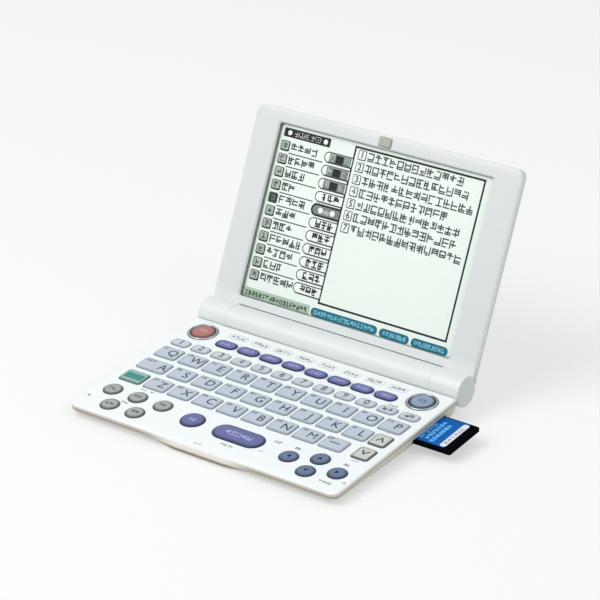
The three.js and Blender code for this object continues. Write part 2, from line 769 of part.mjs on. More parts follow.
function contactNegative() {
  return turned([[-contactX - contactThickness, contactRadius], [-contactX, contactRadius],
    [-contactX, springRadius], [-cellSpan / 2 - seatGap, springTipRadius]], hingeY, hingeZ);
}

function contactPositive() {
  return turned([[cellSpan / 2 + seatGap, contactBossRadius], [contactX, contactBossRadius],
    [contactX, contactRadius], [contactX + contactThickness, contactRadius]], hingeY, hingeZ);
}

function hingePin(side) {
  const head = barrelHalf - hingeWall - seatGap - pinHeadThickness;
  const stations = [[head, pinHeadRadius], [head + pinHeadThickness, pinHeadRadius],
    [head + pinHeadThickness, pinRadius], [barrelHalf + pinReach, pinRadius]];
  return turned(mirrored(stations, side), hingeY, hingeZ);
}

// Contact sheet and main board under the keys
function keySheet() {
  const front = frontY + sheetFrontMargin;
  const rear = rearY - sheetRearMargin;
  const outline = roundedOutline(0, (front + rear) / 2, 2 * sheetHalfWidth, rear - front,
    frontCornerRadius / 2);
  return column(outline, sheetTopZ - sheetThickness, sheetTopZ);
}

const cardY = rearY - cardFromRear;
const cardX = halfWidth + cardOut - cardLength / 2;
const socketX0 = cardX - cardLength / 2 - cardInsertTravel - seatGap;
const socketHalf = cardWidth / 2 + slotGap + socketRail;

function mainBoard() {
  const front = frontY + boardFrontMargin;
  const rear = rearY - boardRearMargin;
  const outline = roundedOutline(0, (front + rear) / 2, 2 * boardHalfWidth, rear - front, keyCornerRadius);
  const plate = column(outline, boardBottomZ, boardTopZ);
  const notch = box(socketX0 - socketRail - seatGap, boardHalfWidth + cutOverrun,
    cardY - socketHalf - seatGap, cardY + socketHalf + seatGap,
    boardBottomZ - cutOverrun, boardTopZ + cutOverrun);
  const chipZ = boardBottomZ - chipHeight;
  const chips = [[-2, 0, letterWidth, letterWidth], [0.6, 0.2, letterWidth, letterDepth],
    [-0.5, -1.2, wideKeyWidth, letterDepth]].map(([columnShare, rowShare, width, depth]) => (
    box(keyX(columnShare) - width / 2, keyX(columnShare) + width / 2, keyY(rowShare) - depth / 2,
      keyY(rowShare) + depth / 2, chipZ, boardTopZ - boardThickness / 2)
  ));
  return union([plate.subtract(notch), ...chips]);
}

// Socket: floor, two rails and an end wall round the card
function cardSocket() {
  const end = halfWidth - socketEndInset;
  const topZ = sheetTopZ - sheetThickness - seatGap;
  const bottomZ = -cardDrop - cardThickness - slotGap - socketFloor;
  const block = box(socketX0 - socketRail, end, cardY - socketHalf, cardY + socketHalf, bottomZ, topZ);
  const room = box(socketX0, end + cutOverrun, cardY - socketHalf + socketRail,
    cardY + socketHalf - socketRail, bottomZ + socketFloor, topZ + cutOverrun);
  return block.subtract(room);
}

function memoryCard() {
  const x0 = cardX - cardLength / 2;
  const x1 = cardX + cardLength / 2;
  const y0 = cardY - cardWidth / 2;
  const y1 = cardY + cardWidth / 2;
  const outline = [[x0 + cardCorner, y0], [x1 - edgeRound, y0], [x1, y0 + edgeRound], [x1, y1 - edgeRound],
    [x1 - edgeRound, y1], [x0, y1], [x0, y0 + cardCorner]].map(([x, y]) => new THREE.Vector2(x, y));
  return column(outline, -cardDrop - cardThickness, -cardDrop);
}

function ringTrim(share) {
  const edge = (ringOuterRadius - ringInnerRadius) / 4;
  const profile = [
    [ringInnerRadius, -ringSink],
    [ringOuterRadius, -ringSink],
    [ringOuterRadius, ringProud - edge],
    [ringOuterRadius - edge, ringProud],
    [ringInnerRadius + edge, ringProud],
    [ringInnerRadius, ringProud - edge],
    [ringInnerRadius, -ringSink],
  ].map(([radius, z]) => new THREE.Vector2(radius, z));
  const geometry = new THREE.LatheGeometry(profile, ringSteps);
  geometry.rotateX(Math.PI / 2);
  geometry.translate(keyX(share), ringedY, 0);
  return solidOf(geometry);
}

const frontFootHalf = halfWidth - footFromSide;
const rearFootHalf = bayHalf + footFromBay + footRadius;

// Feet stand on the level floor, the deck frame is tilted by the wedge
const feetPlaces = [
  { name: 'foot_front_left', x: -frontFootHalf, y: frontY + footFromFront },
  { name: 'foot_front_right', x: frontFootHalf, y: frontY + footFromFront },
  { name: 'foot_rear_left', x: -rearFootHalf, y: hingeY - rearFootFromHinge },
  { name: 'foot_rear_right', x: rearFootHalf, y: hingeY - rearFootFromHinge },
];

function onFloor(solid) {
  const geometry = geometryOf(solid);
  geometry.translate(0, 0, -deckHeight);
  geometry.rotateX(-wedge);
  return solidOf(geometry);
}

// Display half, drawn in its own frame: hinge axis at the origin, Y up the lid, Z to the user
const faceZ = -lidFaceOffset;
const backZ = faceZ - lidThickness;
const splitZ = faceZ - bezelDepth;
const windowY = windowBottom + windowHeight / 2;

function lidOutline(inset, bottom = 0) {
  const side = lidHalf - inset;
  const top = lidLength - inset;
  const radius = Math.max(lidCornerRadius - inset, edgeRound);
  const points = [new THREE.Vector2(-side, bottom), new THREE.Vector2(side, bottom)];
  [[side - radius, 0], [-side + radius, 1]].forEach(([x, turn]) => {
    for (let step = 0; step <= caseCornerSteps; step += 1) {
      const angle = quarterTurn * (turn + step / caseCornerSteps);
      points.push(new THREE.Vector2(x + radius * Math.cos(angle), top - radius + radius * Math.sin(angle)));
    }
  });
  return points;
}

const barrelRoom = () => turned([[-lidWidth, barrelRadius + seatGap + barrelGap / 2],
  [lidWidth, barrelRadius + seatGap + barrelGap / 2]], 0, 0, 2 * barrelSteps);

function knuckle(side) {
  const start = barrelHalf + knuckleGap;
  const stations = [[start, barrelRadius], [lidHalf - knuckleEdge, barrelRadius],
    [lidHalf, barrelRadius - knuckleEdge]];
  return turned(mirrored(stations, side), 0, 0, 2 * barrelSteps);
}

function knuckleBore(side) {
  const bore = [[barrelHalf, hingeBore], [barrelHalf + pinReach + seatGap, hingeBore]];
  return turned(mirrored(bore, side), 0, 0);
}

// Front bezel: bevelled frame round the window, with the two hinge knuckles
function frontBezel() {
  const slab = solidOf(loft([
    atHeight(lidOutline(0), splitZ),
    atHeight(lidOutline(0), faceZ - lidBevelDepth),
    atHeight(lidOutline(lidBevelWidth), faceZ),
  ]));
  const pocket = column(lidOutline(lidWall, lidPocketBottom), splitZ - cutOverrun, faceZ - bezelPlate);
  const opening = (grow, z) => atHeight(roundedOutline(0, windowY, windowWidth + 2 * grow,
    windowHeight + 2 * grow, windowCornerRadius), z);
  const windowCut = solidOf(loft([
    opening(0, splitZ - cutOverrun),
    opening(0, faceZ - windowLip),
    opening(windowDraft, faceZ),
    opening(windowDraft, faceZ + cutOverrun),
  ]));
  const rebate = windowOverlap + seatGap;
  const seat = column(roundedOutline(0, windowY, windowWidth + 2 * rebate, windowHeight + 2 * rebate,
    windowCornerRadius), splitZ - cutOverrun, faceZ - windowLip);
  const padY = lidLength - bumperFromTop;
  const pad = box(-bumperWidth / 2 - seatGap, bumperWidth / 2 + seatGap, padY - bumperDepth / 2 - seatGap,
    padY + bumperDepth / 2 + seatGap, faceZ - bumperSink - seatGap, faceZ + cutOverrun);
  const frame = slab.subtract(union([pocket, windowCut, seat, pad]));
  const inner = barrelHalf + knuckleGap;
  const between = barrelRoom().intersect(box(-inner, inner, -lidLength, lidLength, -lidLength, lidLength));
  const belowAxis = box(-lidWidth, lidWidth, -cutOverrun, 0, backZ, cutOverrun);
  return union([frame.subtract(belowAxis), knuckle(1), knuckle(-1)])
    .subtract(union([between, knuckleBore(1), knuckleBore(-1)]));
}

// Back cover: shallow tray with rounded edges, hollowed along the barrel
function backCover() {
  const tray = solidOf(loft([
    atHeight(lidOutline(backRound), backZ),
    atHeight(lidOutline(backRound / 3), backZ + backRound / 3),
    atHeight(lidOutline(0), backZ + 2 * backRound / 3),
    atHeight(lidOutline(0), splitZ - seatGap),
  ]));
  const pocket = column(lidOutline(lidWall, lidPocketBottom), backZ + backSkin, splitZ + cutOverrun);
  return tray.subtract(union([pocket, barrelRoom()]));
}

function displayWindow() {
  const z = faceZ - windowLip - seatGap;
  const outline = roundedOutline(0, windowY, windowWidth + 2 * windowOverlap,
    windowHeight + 2 * windowOverlap, windowCornerRadius);
  return column(outline, z - windowThickness, z);
}

const displayTopZ = faceZ - windowLip - windowThickness - 2 * seatGap;

function displayPanel() {
  return column(roundedOutline(0, windowY, windowWidth - displayInset, windowHeight - displayInset,
    windowCornerRadius), displayTopZ - displayThickness, displayTopZ);
}

function lidBumper() {
  const y = lidLength - bumperFromTop;
  const outline = roundedOutline(0, y, bumperWidth, bumperDepth, edgeRound);
  return column(outline, faceZ - bumperSink, faceZ + bumperProud);
}

function displayFlex() {
  const top = windowBottom + displayInset / 2 - seatGap;
  const x = flexFromSide - windowWidth / 2;
  const z = displayTopZ - displayThickness / 2;
  return box(x - flexWidth / 2, x + flexWidth / 2, lidPocketBottom + seatGap, top, z - flexThickness, z);
}

// Scene graph: floor level, tilted deck, and the lid turned about the hinge axis
const dictionary = new THREE.Group();
const deck = new THREE.Group();
deck.rotation.x = wedge;
deck.position.z = deckHeight;
const lid = new THREE.Group();
lid.position.set(0, hingeY, hingeZ);
lid.rotation.x = Math.PI - THREE.MathUtils.degToRad(lidOpenDegrees);
deck.add(lid);
dictionary.add(deck);

deck.add(
  namedMesh('top_cover', topCover(), finishes.white),
  namedMesh('bottom_cover', bottomCover(), finishes.white),
  namedMesh('barrel_cover', barrelCover(), finishes.white),
  namedMesh('battery_cover', batteryCover(), finishes.white),
  namedMesh('cell_left', cell(-cellSpan / 2), finishes.cell),
  namedMesh('cell_right', cell(cellSpan / 2 - cellLength), finishes.cell),
  namedMesh('contact_negative', contactNegative(), finishes.steel),
  namedMesh('contact_positive', contactPositive(), finishes.steel),
  namedMesh('hinge_pin_left', hingePin(-1), finishes.steel),
  namedMesh('hinge_pin_right', hingePin(1), finishes.steel),
  namedMesh('key_sheet', keySheet(), finishes.darkRubber),
  namedMesh('main_board', mainBoard(), finishes.board),
  namedMesh('card_socket', cardSocket(), finishes.steel),
  namedMesh('memory_card', memoryCard(), finishes.card),
  namedMesh('power_ring', ringTrim(powerKeyShare), finishes.chrome),
  namedMesh('round_ring', ringTrim(roundKeyShare), finishes.chrome),
);
Object.entries(singleKeys).forEach(([name, { outline, finish }]) => {
  deck.add(namedMesh(name, singleKey(outline), finish));
});
Object.entries(keyStrips).forEach(([name, { outlines, y, depth, finish }]) => {
  deck.add(namedMesh(name, keyStrip(outlines, y, depth), finish));
});
feetPlaces.forEach(({ name, x, y }) => {
  dictionary.add(namedMesh(name, disc(x, y, 0, footThickness, footRadius), finishes.darkRubber));
});
lid.add(
  namedMesh('lid_front_bezel', frontBezel(), finishes.white),
  namedMesh('lid_back_cover', backCover(), finishes.white),
  namedMesh('display_window', displayWindow(), finishes.window),
  namedMesh('display_panel', displayPanel(), finishes.display),
  namedMesh('display_flex', displayFlex(), finishes.flex),
  namedMesh('lid_bumper', lidBumper(), finishes.rubber),
);

// The origin is the middle of the whole footprint, on the surface it stands on
const whole = new THREE.Group();
whole.add(dictionary);
const extent = new THREE.Box3().setFromObject(whole, true);
const middle = extent.getCenter(new THREE.Vector3());
dictionary.position.set(-middle.x, -middle.y, -extent.min.z);

export default whole;
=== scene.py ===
"""Looks of a pocket electronic dictionary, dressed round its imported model, in millimetres unless said."""

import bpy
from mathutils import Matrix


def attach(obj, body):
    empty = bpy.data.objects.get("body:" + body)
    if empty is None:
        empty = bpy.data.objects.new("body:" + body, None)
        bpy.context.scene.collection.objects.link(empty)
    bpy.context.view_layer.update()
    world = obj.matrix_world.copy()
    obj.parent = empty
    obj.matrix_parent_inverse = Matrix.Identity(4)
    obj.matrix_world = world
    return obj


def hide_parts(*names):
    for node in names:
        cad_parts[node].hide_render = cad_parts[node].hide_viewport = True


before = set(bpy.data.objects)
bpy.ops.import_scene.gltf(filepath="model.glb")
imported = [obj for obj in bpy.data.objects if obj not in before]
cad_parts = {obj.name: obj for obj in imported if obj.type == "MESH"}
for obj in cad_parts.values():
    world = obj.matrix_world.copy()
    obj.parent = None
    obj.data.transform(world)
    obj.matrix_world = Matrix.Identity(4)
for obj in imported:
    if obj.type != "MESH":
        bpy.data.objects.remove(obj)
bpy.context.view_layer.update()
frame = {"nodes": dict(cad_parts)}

import logging
import math
import random
from collections.abc import Callable, Iterable, Sequence
from dataclasses import dataclass, field
from enum import Enum
from functools import cached_property

import bmesh
import bpy
from bpy.types import Material, Mesh, Node, NodeSocket
from mathutils import Matrix, Vector

LOG = logging.getLogger("dictionary")
MM = 0.001
SMOOTH_ANGLE = math.radians(32)
LEVEL_COSINE = 0.99995
QUARTER = math.pi / 2
CORNER_STEPS = 7
# Of moulded plastic, in metres: clouds on keys, clouds on the case, fine grain and its depth
KEY_CLOUD, CASE_CLOUD, GRAIN, RELIEF = 0.0128, 0.012, 0.00032, 0.000006
WHITE = (1.0, 1.0, 1.0, 1.0)

Pair = tuple[float, float]
Rect = tuple[float, float, float, float]
Tone = tuple[int, int, int]
Ring = list[Vector]
OutlineAt = Callable[[float], Ring]
Inputs = dict[object, object]


class Body(str, Enum):
    """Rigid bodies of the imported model."""

    KEYBOARD = "keyboard_half"
    DISPLAY = "display_half"
    CARD = "card"
    COVER = "cover"


class Slot(str, Enum):
    """Material slots of the record, given alongside the new pieces; the pieces take their finish from
    Finishes.
    """

    SHELL = "white_shell"
    LETTER = "letter_key"
    NUMBER = "number_key"
    PURPLE = "purple_key"
    ARROW = "arrow_key"
    GREY = "grey_key"
    GREEN = "green_key"
    RED = "red_key"
    BLUE = "blue_key"
    PAGE = "page_key"
    CHROME = "chrome_ring"
    STEEL = "steel"
    DARK_RUBBER = "dark_rubber"
    LIGHT_RUBBER = "light_rubber"
    DISPLAY = "display"
    CARD = "card"


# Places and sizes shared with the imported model


@dataclass(frozen=True)
class Sizes:
    """Sizes that several sub-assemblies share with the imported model."""

    half_width: float = 74.0
    front_y: float = -46.85
    rear_y: float = 46.85
    wedge: float = math.radians(4)
    lid_turn: float = math.radians(180 - 118.4)
    deck_height: float = 9.261032
    middle_x: float = -9.2
    middle_y: float = -27.916531
    floor_proud: float = 0.8
    front_thickness: float = 5.205622
    parting_z: float = -2.1
    case_wall: float = 1.5
    gap: float = 0.3
    hinge_y: float = 54.65
    hinge_z: float = -0.6
    barrel_radius: float = 7.4
    barrel_half: float = 57.7
    tray_radius: float = 5.6
    hinge_bore: float = 3.3
    pin_reach: float = 12.6
    letter_pitch: float = 14.0
    row_pitch: float = 12.698
    first_row_y: float = 12.15
    ringed_y: float = 36.15
    row_middle_x: float = 0.56
    power_x: float = -61.32
    round_x: float = 62.3
    cap_top: float = 0.5
    crown: float = 0.08
    skirt_depth: float = 2.0
    lip_half: float = 34.0
    lid_half: float = 73.7
    function_pitch: float = 12.83
    function_size: Pair = (11.23, 6.0)
    function_y: float = 32.05
    card_y: float = 24.55
    card_half: float = 12.0
    card_top: float = -3.7
    card_thickness: float = 2.1

    def floor_z(self, y: float) -> float:
        """Height of the case floor under the deck."""
        return -self.front_thickness - (y - self.front_y) * math.tan(self.wedge)

    def key_place(self, across: float, up: float) -> Pair:
        """X and Y of a place given in letter pitches, and in rows above the first letter row."""
        return across * self.letter_pitch, self.first_row_y + up * self.row_pitch

    def function_x(self, at: int) -> float:
        """X of one of the eight function keys, counted from the left."""
        return self.row_middle_x + (at - 3.5) * self.function_pitch

    @property
    def lid_tilt(self) -> float:
        """Turn of the display half about X in the frame."""
        return self.wedge + self.lid_turn

    @property
    def deck_level(self) -> float:
        """Height of the deck in metres, once its tilt is turned back."""
        return (self.deck_height * math.cos(self.wedge) - self.middle_y * math.sin(self.wedge)) * MM

    @property
    def lid_root(self) -> float:
        """Distance in metres of the hinge along the lid, once the lid's tilt is turned back."""
        return (Matrix.Rotation(-self.lid_tilt, 4, "X") @ self.lid_place).translation.y

    @property
    def floor_place(self) -> Matrix:
        """Matrix from millimetres on the level floor to metres in the frame."""
        return Matrix.Scale(MM, 4) @ Matrix.Translation((self.middle_x, self.middle_y, 0))

    @property
    def deck_place(self) -> Matrix:
        """Matrix from millimetres on the tilted deck to metres in the frame."""
        lift = Matrix.Translation((0, 0, self.deck_height))
        return self.floor_place @ lift @ Matrix.Rotation(self.wedge, 4, "X")

    @property
    def lid_place(self) -> Matrix:
        """Matrix from millimetres in the display half to metres in the frame."""
        hinge = Matrix.Translation((0, self.hinge_y, self.hinge_z))
        return self.deck_place @ hinge @ Matrix.Rotation(self.lid_turn, 4, "X")


SIZES = Sizes()


# Shader graphs


class Value:
    """One value in a node tree. Its operators add Math nodes."""

    def __init__(self, tree: "Tree", socket: NodeSocket) -> None:
        """Keeps the tree and the output socket that holds the value."""
        self.tree, self.socket = tree, socket

    def _maths(self, operation: str, first: object, second: object = 0.0) -> "Value":
        """Adds one Math node and returns its result."""
        return self.tree.value("ShaderNodeMath", {"operation": operation}, {0: first, 1: second})

    def __add__(self, other: object) -> "Value":
        """Sum."""
        return self._maths("ADD", self, other)

    def __radd__(self, other: object) -> "Value":
        """Sum, other side."""
        return self._maths("ADD", other, self)

    def __sub__(self, other: object) -> "Value":
        """Difference."""
        return self._maths("SUBTRACT", self, other)

    def __rsub__(self, other: object) -> "Value":
        """Difference, other side."""
        return self._maths("SUBTRACT", other, self)

    def __mul__(self, other: object) -> "Value":
        """Product."""
        return self._maths("MULTIPLY", self, other)

    def __rmul__(self, other: object) -> "Value":
        """Product, other side."""
        return self._maths("MULTIPLY", other, self)

    def absolute(self) -> "Value":
        """Value without its sign."""
        return self._maths("ABSOLUTE", self)

    def folded(self, length: float) -> "Value":
        """Value folded to and fro between 0 and a length."""
        return self._maths("PINGPONG", self, length)

    def least(self, other: "Value") -> "Value":
        """Smaller one of two values."""
        return self._maths("MINIMUM", self, other)

    def most(self, other: "Value") -> "Value":
        """Larger one of two values."""
        return self._maths("MAXIMUM", self, other)

    def step(self, low: float, high: float) -> "Value":
        """Smooth step from 0 at low to 1 at high."""
        settings = {"interpolation_type": "SMOOTHSTEP"}
        return self.tree.value("ShaderNodeMapRange", settings, {0: self, 1: low, 2: high})


class Tree:
    """A node tree while it is being written."""

    def __init__(self, tree: bpy.types.NodeTree) -> None:
        """Keeps a tree and clears it of its first nodes."""
        self.tree = tree
        self.tree.nodes.clear()

    def node(self, kind: str, settings: dict[str, object], inputs: Inputs) -> Node:
        """Adds one node.

        Args:
            kind: type name of the node.
            settings: attributes to set before the sockets.
            inputs: values or links by socket name or index.

        Returns:
            The new node.
        """
        node = self.tree.nodes.new(kind)
        for key, setting in settings.items():
            setattr(node, key, setting)
        for key, given in inputs.items():
            source = given.socket if isinstance(given, Value) else given
            if isinstance(source, NodeSocket):
                self.tree.links.new(source, node.inputs[key])
            else:
                node.inputs[key].default_value = source
        return node

    def value(self, kind: str, settings: dict[str, object], inputs: Inputs, output: object = 0) -> Value:
        """Adds one node and returns one of its outputs as a value."""
        return Value(self, self.node(kind, settings, inputs).outputs[output])


class Graph(Tree):
    """A material while it is being written. Its places and sizes are metres."""

    def __init__(self, name: str) -> None:
        """Starts an empty material.

        Args:
            name: name of the material.
        """
        self.material = bpy.data.materials.new(name)
        self.material.use_nodes = True
        super().__init__(self.material.node_tree)

    def position(self) -> Value:
        """Place on the piece."""
        return self.value("ShaderNodeTexCoord", {}, {}, "Object")

    def axes(self, tilt: float = 0.0) -> tuple[Value, ...]:
        """X, Y and Z of a place on the piece.

        Args:
            tilt: turn of the piece about X, which is turned back first.

        Returns:
            The three values.
        """
        place = self.position()
        if tilt:
            place = self.value("ShaderNodeMapping", {}, {0: place, 2: (-tilt, 0.0, 0.0)})
        split = self.node("ShaderNodeSeparateXYZ", {}, {0: place})
        return tuple(Value(self, part) for part in split.outputs)

    def off_middle(self) -> Value:
        """Distance in X from the middle of the case."""
        return (self.axes()[0] - SIZES.middle_x * MM).absolute()

    def beside_lip(self) -> Value:
        """0 in the middle of the thumb lip, rising to 1 at its ends."""
        lip = SIZES.lip_half * MM
        return self.off_middle().step(lip * 0.4, lip)

    def noise(self, size: float, detail: float = 2.0, place: Value | None = None) -> Value:
        """Noise whose lumps are about one size across."""
        inputs = {"Vector": place or self.position(), "Scale": 1.0 / size, "Detail": detail}
        return self.value("ShaderNodeTexNoise", {}, inputs)

    def attribute(self, name: str) -> Value:
        """A value stored on the mesh."""
        return self.value("ShaderNodeAttribute", {"attribute_name": name}, {}, "Fac")

    def blend(self, share: object, first: object, second: object) -> Value:
        """Mixes two colours."""
        settings = {"data_type": "RGBA", "clamp_factor": True}
        return self.value("ShaderNodeMix", settings, {0: share, 6: first, 7: second}, 2)

    def bump(self, height: Value, depth: float) -> Value:
        """Normal that follows a height pattern of a given depth."""
        return self.value("ShaderNodeBump", {}, {"Strength": 1.0, "Distance": depth, "Height": height})

    def surface(self, inputs: Inputs) -> None:
        """Closes the graph with one Principled surface."""
        shader = self.node("ShaderNodeBsdfPrincipled", {}, inputs)
        self.node("ShaderNodeOutputMaterial", {}, {0: shader.outputs[0]})

    def moulded(
        self, colour: Value, roughness: float, cloudy: Value, relief: float = RELIEF, sheen: float = 0.5
    ) -> None:
        """Closes the graph as moulded plastic with a fine grain.

        Args:
            colour: base colour.
            roughness: middle roughness.
            cloudy: pattern that the roughness follows a little.
            relief: depth of the grain.
            sheen: level of the mirror reflection.
        """
        self.surface({
            "Base Color": colour,
            "Roughness": roughness + (cloudy - 0.5) * 0.12,
            "Specular IOR Level": sheen,
            "Normal": self.bump(self.noise(GRAIN), relief),
        })


def rgba(colour: Sequence[float], gain: float = 1.0) -> tuple[float, float, float, float]:
    """Written sRGB colour as a linear one.

    Args:
        colour: red, green and blue from 0 to 255.
        gain: factor on the linear colour.

    Returns:
        Linear red, green, blue and 1.
    """
    shares = [c / 255 for c in colour]
    linear = [s / 12.92 if s <= 0.04045 else ((s + 0.055) / 1.055) ** 2.4 for s in shares]
    return (*[min(1.0, x * gain) for x in linear], 1.0)


@dataclass(frozen=True)
class Finish:
    """Name and main colour, which every finish has."""

    name: str
    colour: Tone

    @cached_property
    def graph(self) -> Graph:
        """Graph of the material, started at first use."""
        return Graph(self.name)

    @cached_property
    def material(self) -> Material:
        """The material, written at first use."""
        self.write()
        return self.graph.material

    def shades(self, graph: Graph, share: Value, low: float, high: float) -> Value:
        """Main colour between two gains."""
        return graph.blend(share, rgba(self.colour, low), rgba(self.colour, high))


@dataclass(frozen=True)
class Plastic(Finish):
    """Moulded plastic with a fine grain, and painted shade on the rim where the mesh marks one."""

    roughness: float = 0.42
    relief: float = RELIEF
    mottle: float = 0.02
    rim_shade: Tone | None = None
    sheen: float = 0.5

    def write(self) -> None:
        """Writes the material."""
        graph = self.graph
        cloudy = graph.noise(KEY_CLOUD, 3.0)
        colour = self.shades(graph, cloudy, 1.0 - self.mottle, 1.0 + self.mottle)
        if self.rim_shade:
            colour = graph.blend(graph.attribute("rim_shade").step(0.1, 0.9), colour, rgba(self.rim_shade))
        graph.moulded(colour, self.roughness, cloudy, self.relief, self.sheen)


@dataclass(frozen=True)
class ShadeBandedPlastic(Finish):
    """Plastic of the deck, with painted shade on the wall below, darkest at its foot, and a painted-lit wall
    without the dark foot on the thumb lip.
    """

    # wall and foot are painted shade on the skirt; the lit lip wall is painted light
    wall: Tone
    foot: Tone
    lit_lip_wall: Tone
    roughness: float = 0.36
    foot_shade_start: float = 0.6
    edge: Pair = (0.0001, 0.0008)

    def write(self) -> None:
        """Writes the material."""
        graph = self.graph
        below, reach = SIZES.deck_level - graph.axes(SIZES.wedge)[2], graph.beside_lip()
        depth = SIZES.skirt_depth * MM
        # Painted shade: the wall turns to the foot colour over the lower skirt, except on the thumb lip
        share = below.step(depth * self.foot_shade_start, depth) * reach
        painted_upper_wall = graph.blend(reach, rgba(self.lit_lip_wall), rgba(self.wall))
        wall = graph.blend(share, painted_upper_wall, rgba(self.foot))
        colour = graph.blend(below.step(*self.edge), rgba(self.colour), wall)
        graph.moulded(colour, self.roughness, graph.noise(CASE_CLOUD, 3.0))


@dataclass(frozen=True)
class ShadedHullPlastic(Finish):
    """Hull plastic with painted shade that darkens it towards the floor, later and from a painted-lit lighter
    tone on the thumb lip.
    """

    # The lit lip colour is painted light on the thumb lip; foot is painted shade near the floor
    lit_lip_colour: Tone
    foot: Tone
    roughness: float = 0.4
    lip_shade_fade: Pair = (0.0014, 0.0033)
    side_shade_fade: Pair = (0.0016, 0.0046)
    foot_shade_fade: Pair = (0.00082, 0.0013)
    lit_tone_fade: Pair = (0.0009, 0.0016)

    def write(self) -> None:
        """Writes the material."""
        graph = self.graph
        height, reach = graph.axes()[2], graph.beside_lip()
        on_lip, beside = 1.0 - height.step(*self.lip_shade_fade), 1.0 - height.step(*self.side_shade_fade)
        # Painted shade towards the floor, starting lower on the thumb lip than beside it
        share = (on_lip + (beside - on_lip) * reach) * height.step(*self.foot_shade_fade)
        over = height.step(*self.lit_tone_fade)
        light = graph.blend(reach * over + 1.0 - over, rgba(self.lit_lip_colour), rgba(self.colour))
        colour = graph.blend(share, light, rgba(self.foot))
        graph.moulded(colour, self.roughness, graph.noise(CASE_CLOUD, 3.0))


@dataclass(frozen=True)
class HingePlastic(Finish):
    """Lid plastic that is lighter beside the hinge, with painted shade in a greener tone on the ends of its
    knuckles.
    """

    near: Tone
    # end is painted shade on the knuckle ends
    end: Tone
    roughness: float = 0.34
    fade: float = 0.0075
    shaded_flank: float = 0.0003

    def write(self) -> None:
        """Writes the material."""
        graph = self.graph
        half = SIZES.lid_half * MM
        away = (graph.axes(SIZES.lid_tilt)[1] - SIZES.lid_root).step(self.fade, self.fade * 2)
        # Painted shade: the knuckle ends, beyond the lid's half width, take the greener end tone
        shaded_flank = graph.off_middle().step(half - self.shaded_flank, half)
        near = graph.blend(shaded_flank, rgba(self.near), rgba(self.end))
        colour = graph.blend(away, near, rgba(self.colour))
        graph.moulded(colour, self.roughness, graph.noise(CASE_CLOUD, 3.0))


@dataclass(frozen=True)
class Ink(Finish):
    """Flat print with slightly uneven cover."""

    roughness: float = 0.5
    sheen: float = 0.5
    patch: float = 0.0004

    def write(self) -> None:
        """Writes the material."""
        graph = self.graph
        uneven = graph.noise(self.patch)
        graph.surface({
            "Base Color": self.shades(graph, uneven, 0.9, 1.1),
            "Roughness": self.roughness + (uneven - 0.5) * 0.1,
            "Specular IOR Level": self.sheen,
        })


@dataclass(frozen=True)
class Metal(Finish):
    """Plated or bare metal with faint handling marks, drawn out along X where it is brushed."""

    roughness: float
    brushed: bool = False
    mark: float = 0.0006
    relief: float = 0.000002

    def write(self) -> None:
        """Writes the material."""
        graph = self.graph
        place = graph.position()
        if self.brushed:
            place = graph.value("ShaderNodeMapping", {}, {0: place, 3: (0.05, 1.0, 1.0)})
        marks = graph.noise(self.mark, 4.0, place)
        graph.surface({
            "Base Color": self.shades(graph, marks, 0.94, 1.04),
            "Metallic": 1.0,
            "Roughness": self.roughness + marks * 0.1,
            "Normal": graph.bump(marks, self.relief),
        })


@dataclass(frozen=True)
class Rubber(Finish):
    """Soft matt rubber with a dusty grain."""

    grain: float = 0.00025
    relief: float = 0.00002

    def write(self) -> None:
        """Writes the material."""
        graph = self.graph
        dust = graph.noise(self.grain, 3.0)
        graph.surface({
            "Base Color": self.shades(graph, dust.step(0.35, 0.8), 1.0, 1.35),
            "Roughness": 0.78 + dust * 0.15,
            "Normal": graph.bump(dust, self.relief),
        })


@dataclass(frozen=True)
class Pane(Finish):
    """Clear hard-coated pane: mostly see-through, with a faint tint and gloss."""

    alpha: float = 0.012
    patch: float = 0.004

    def write(self) -> None:
        """Writes the material."""
        graph = self.graph
        haze = graph.noise(self.patch, 3.0)
        graph.surface({
            "Base Color": rgba(self.colour),
            "Roughness": 0.06 + haze * 0.06,
            "Alpha": self.alpha + haze * 0.016,
        })


@dataclass(frozen=True)
class DisplayGround(Finish):
    """Reflective display film with its fine square cells."""

    cell: float = 0.00032
    cloud: float = 0.03

    def write(self) -> None:
        """Writes the material."""
        graph = self.graph
        across, along, _ = graph.axes(SIZES.lid_tilt)
        grid = across.folded(self.cell / 2).least(along.folded(self.cell / 2))
        cloud = graph.noise(self.cloud)
        share = grid.step(0.0, self.cell / 5) * 0.7 + cloud * 0.3
        graph.surface({
            "Base Color": self.shades(graph, share, 0.93, 1.02),
            "Roughness": 0.34 + cloud * 0.08,
        })


@dataclass(frozen=True)
class Wrap(Finish):
    """Foil wrap of a cell, with bare metal at its two ends."""

    band: Tone
    bare: Tone
    length: float
    band_share: float = 0.3
    bare_share: float = 0.47
    edge_share: float = 0.005

    def write(self) -> None:
        """Writes the material."""
        graph = self.graph
        reach = graph.axes()[0].absolute()
        shares = (self.band_share, self.bare_share)
        banded, bare = (reach.step(self.length * at, self.length * (at + self.edge_share)) for at in shares)
        scuff = graph.noise(0.001, 3.0)
        wrap = graph.blend(banded, rgba(self.colour), rgba(self.band))
        graph.surface({
            "Base Color": graph.blend(bare, wrap, rgba(self.bare)),
            "Metallic": bare * 0.9,
            "Roughness": 0.3 + scuff * 0.15,
        })


@dataclass(frozen=True)
class Laminate(Finish):
    """Circuit board with copper tracks under its lacquer."""

    track: Tone
    scale: float = 260.0
    relief: float = 0.00003

    def write(self) -> None:
        """Writes the material."""
        graph = self.graph
        inputs = {"Vector": graph.position(), "Scale": self.scale, "Mortar Size": 0.03,
                  "Color1": (0, 0, 0, 1), "Color2": (0.4, 0.4, 0.4, 1), "Mortar": WHITE}
        tracks = graph.value("ShaderNodeTexBrick", {}, inputs, 1)
        graph.surface({
            "Base Color": graph.blend(tracks, rgba(self.colour), rgba(self.track)),
            "Roughness": 0.3 + graph.noise(0.002) * 0.15,
            "Normal": graph.bump(tracks, self.relief),
        })


# Mesh helpers


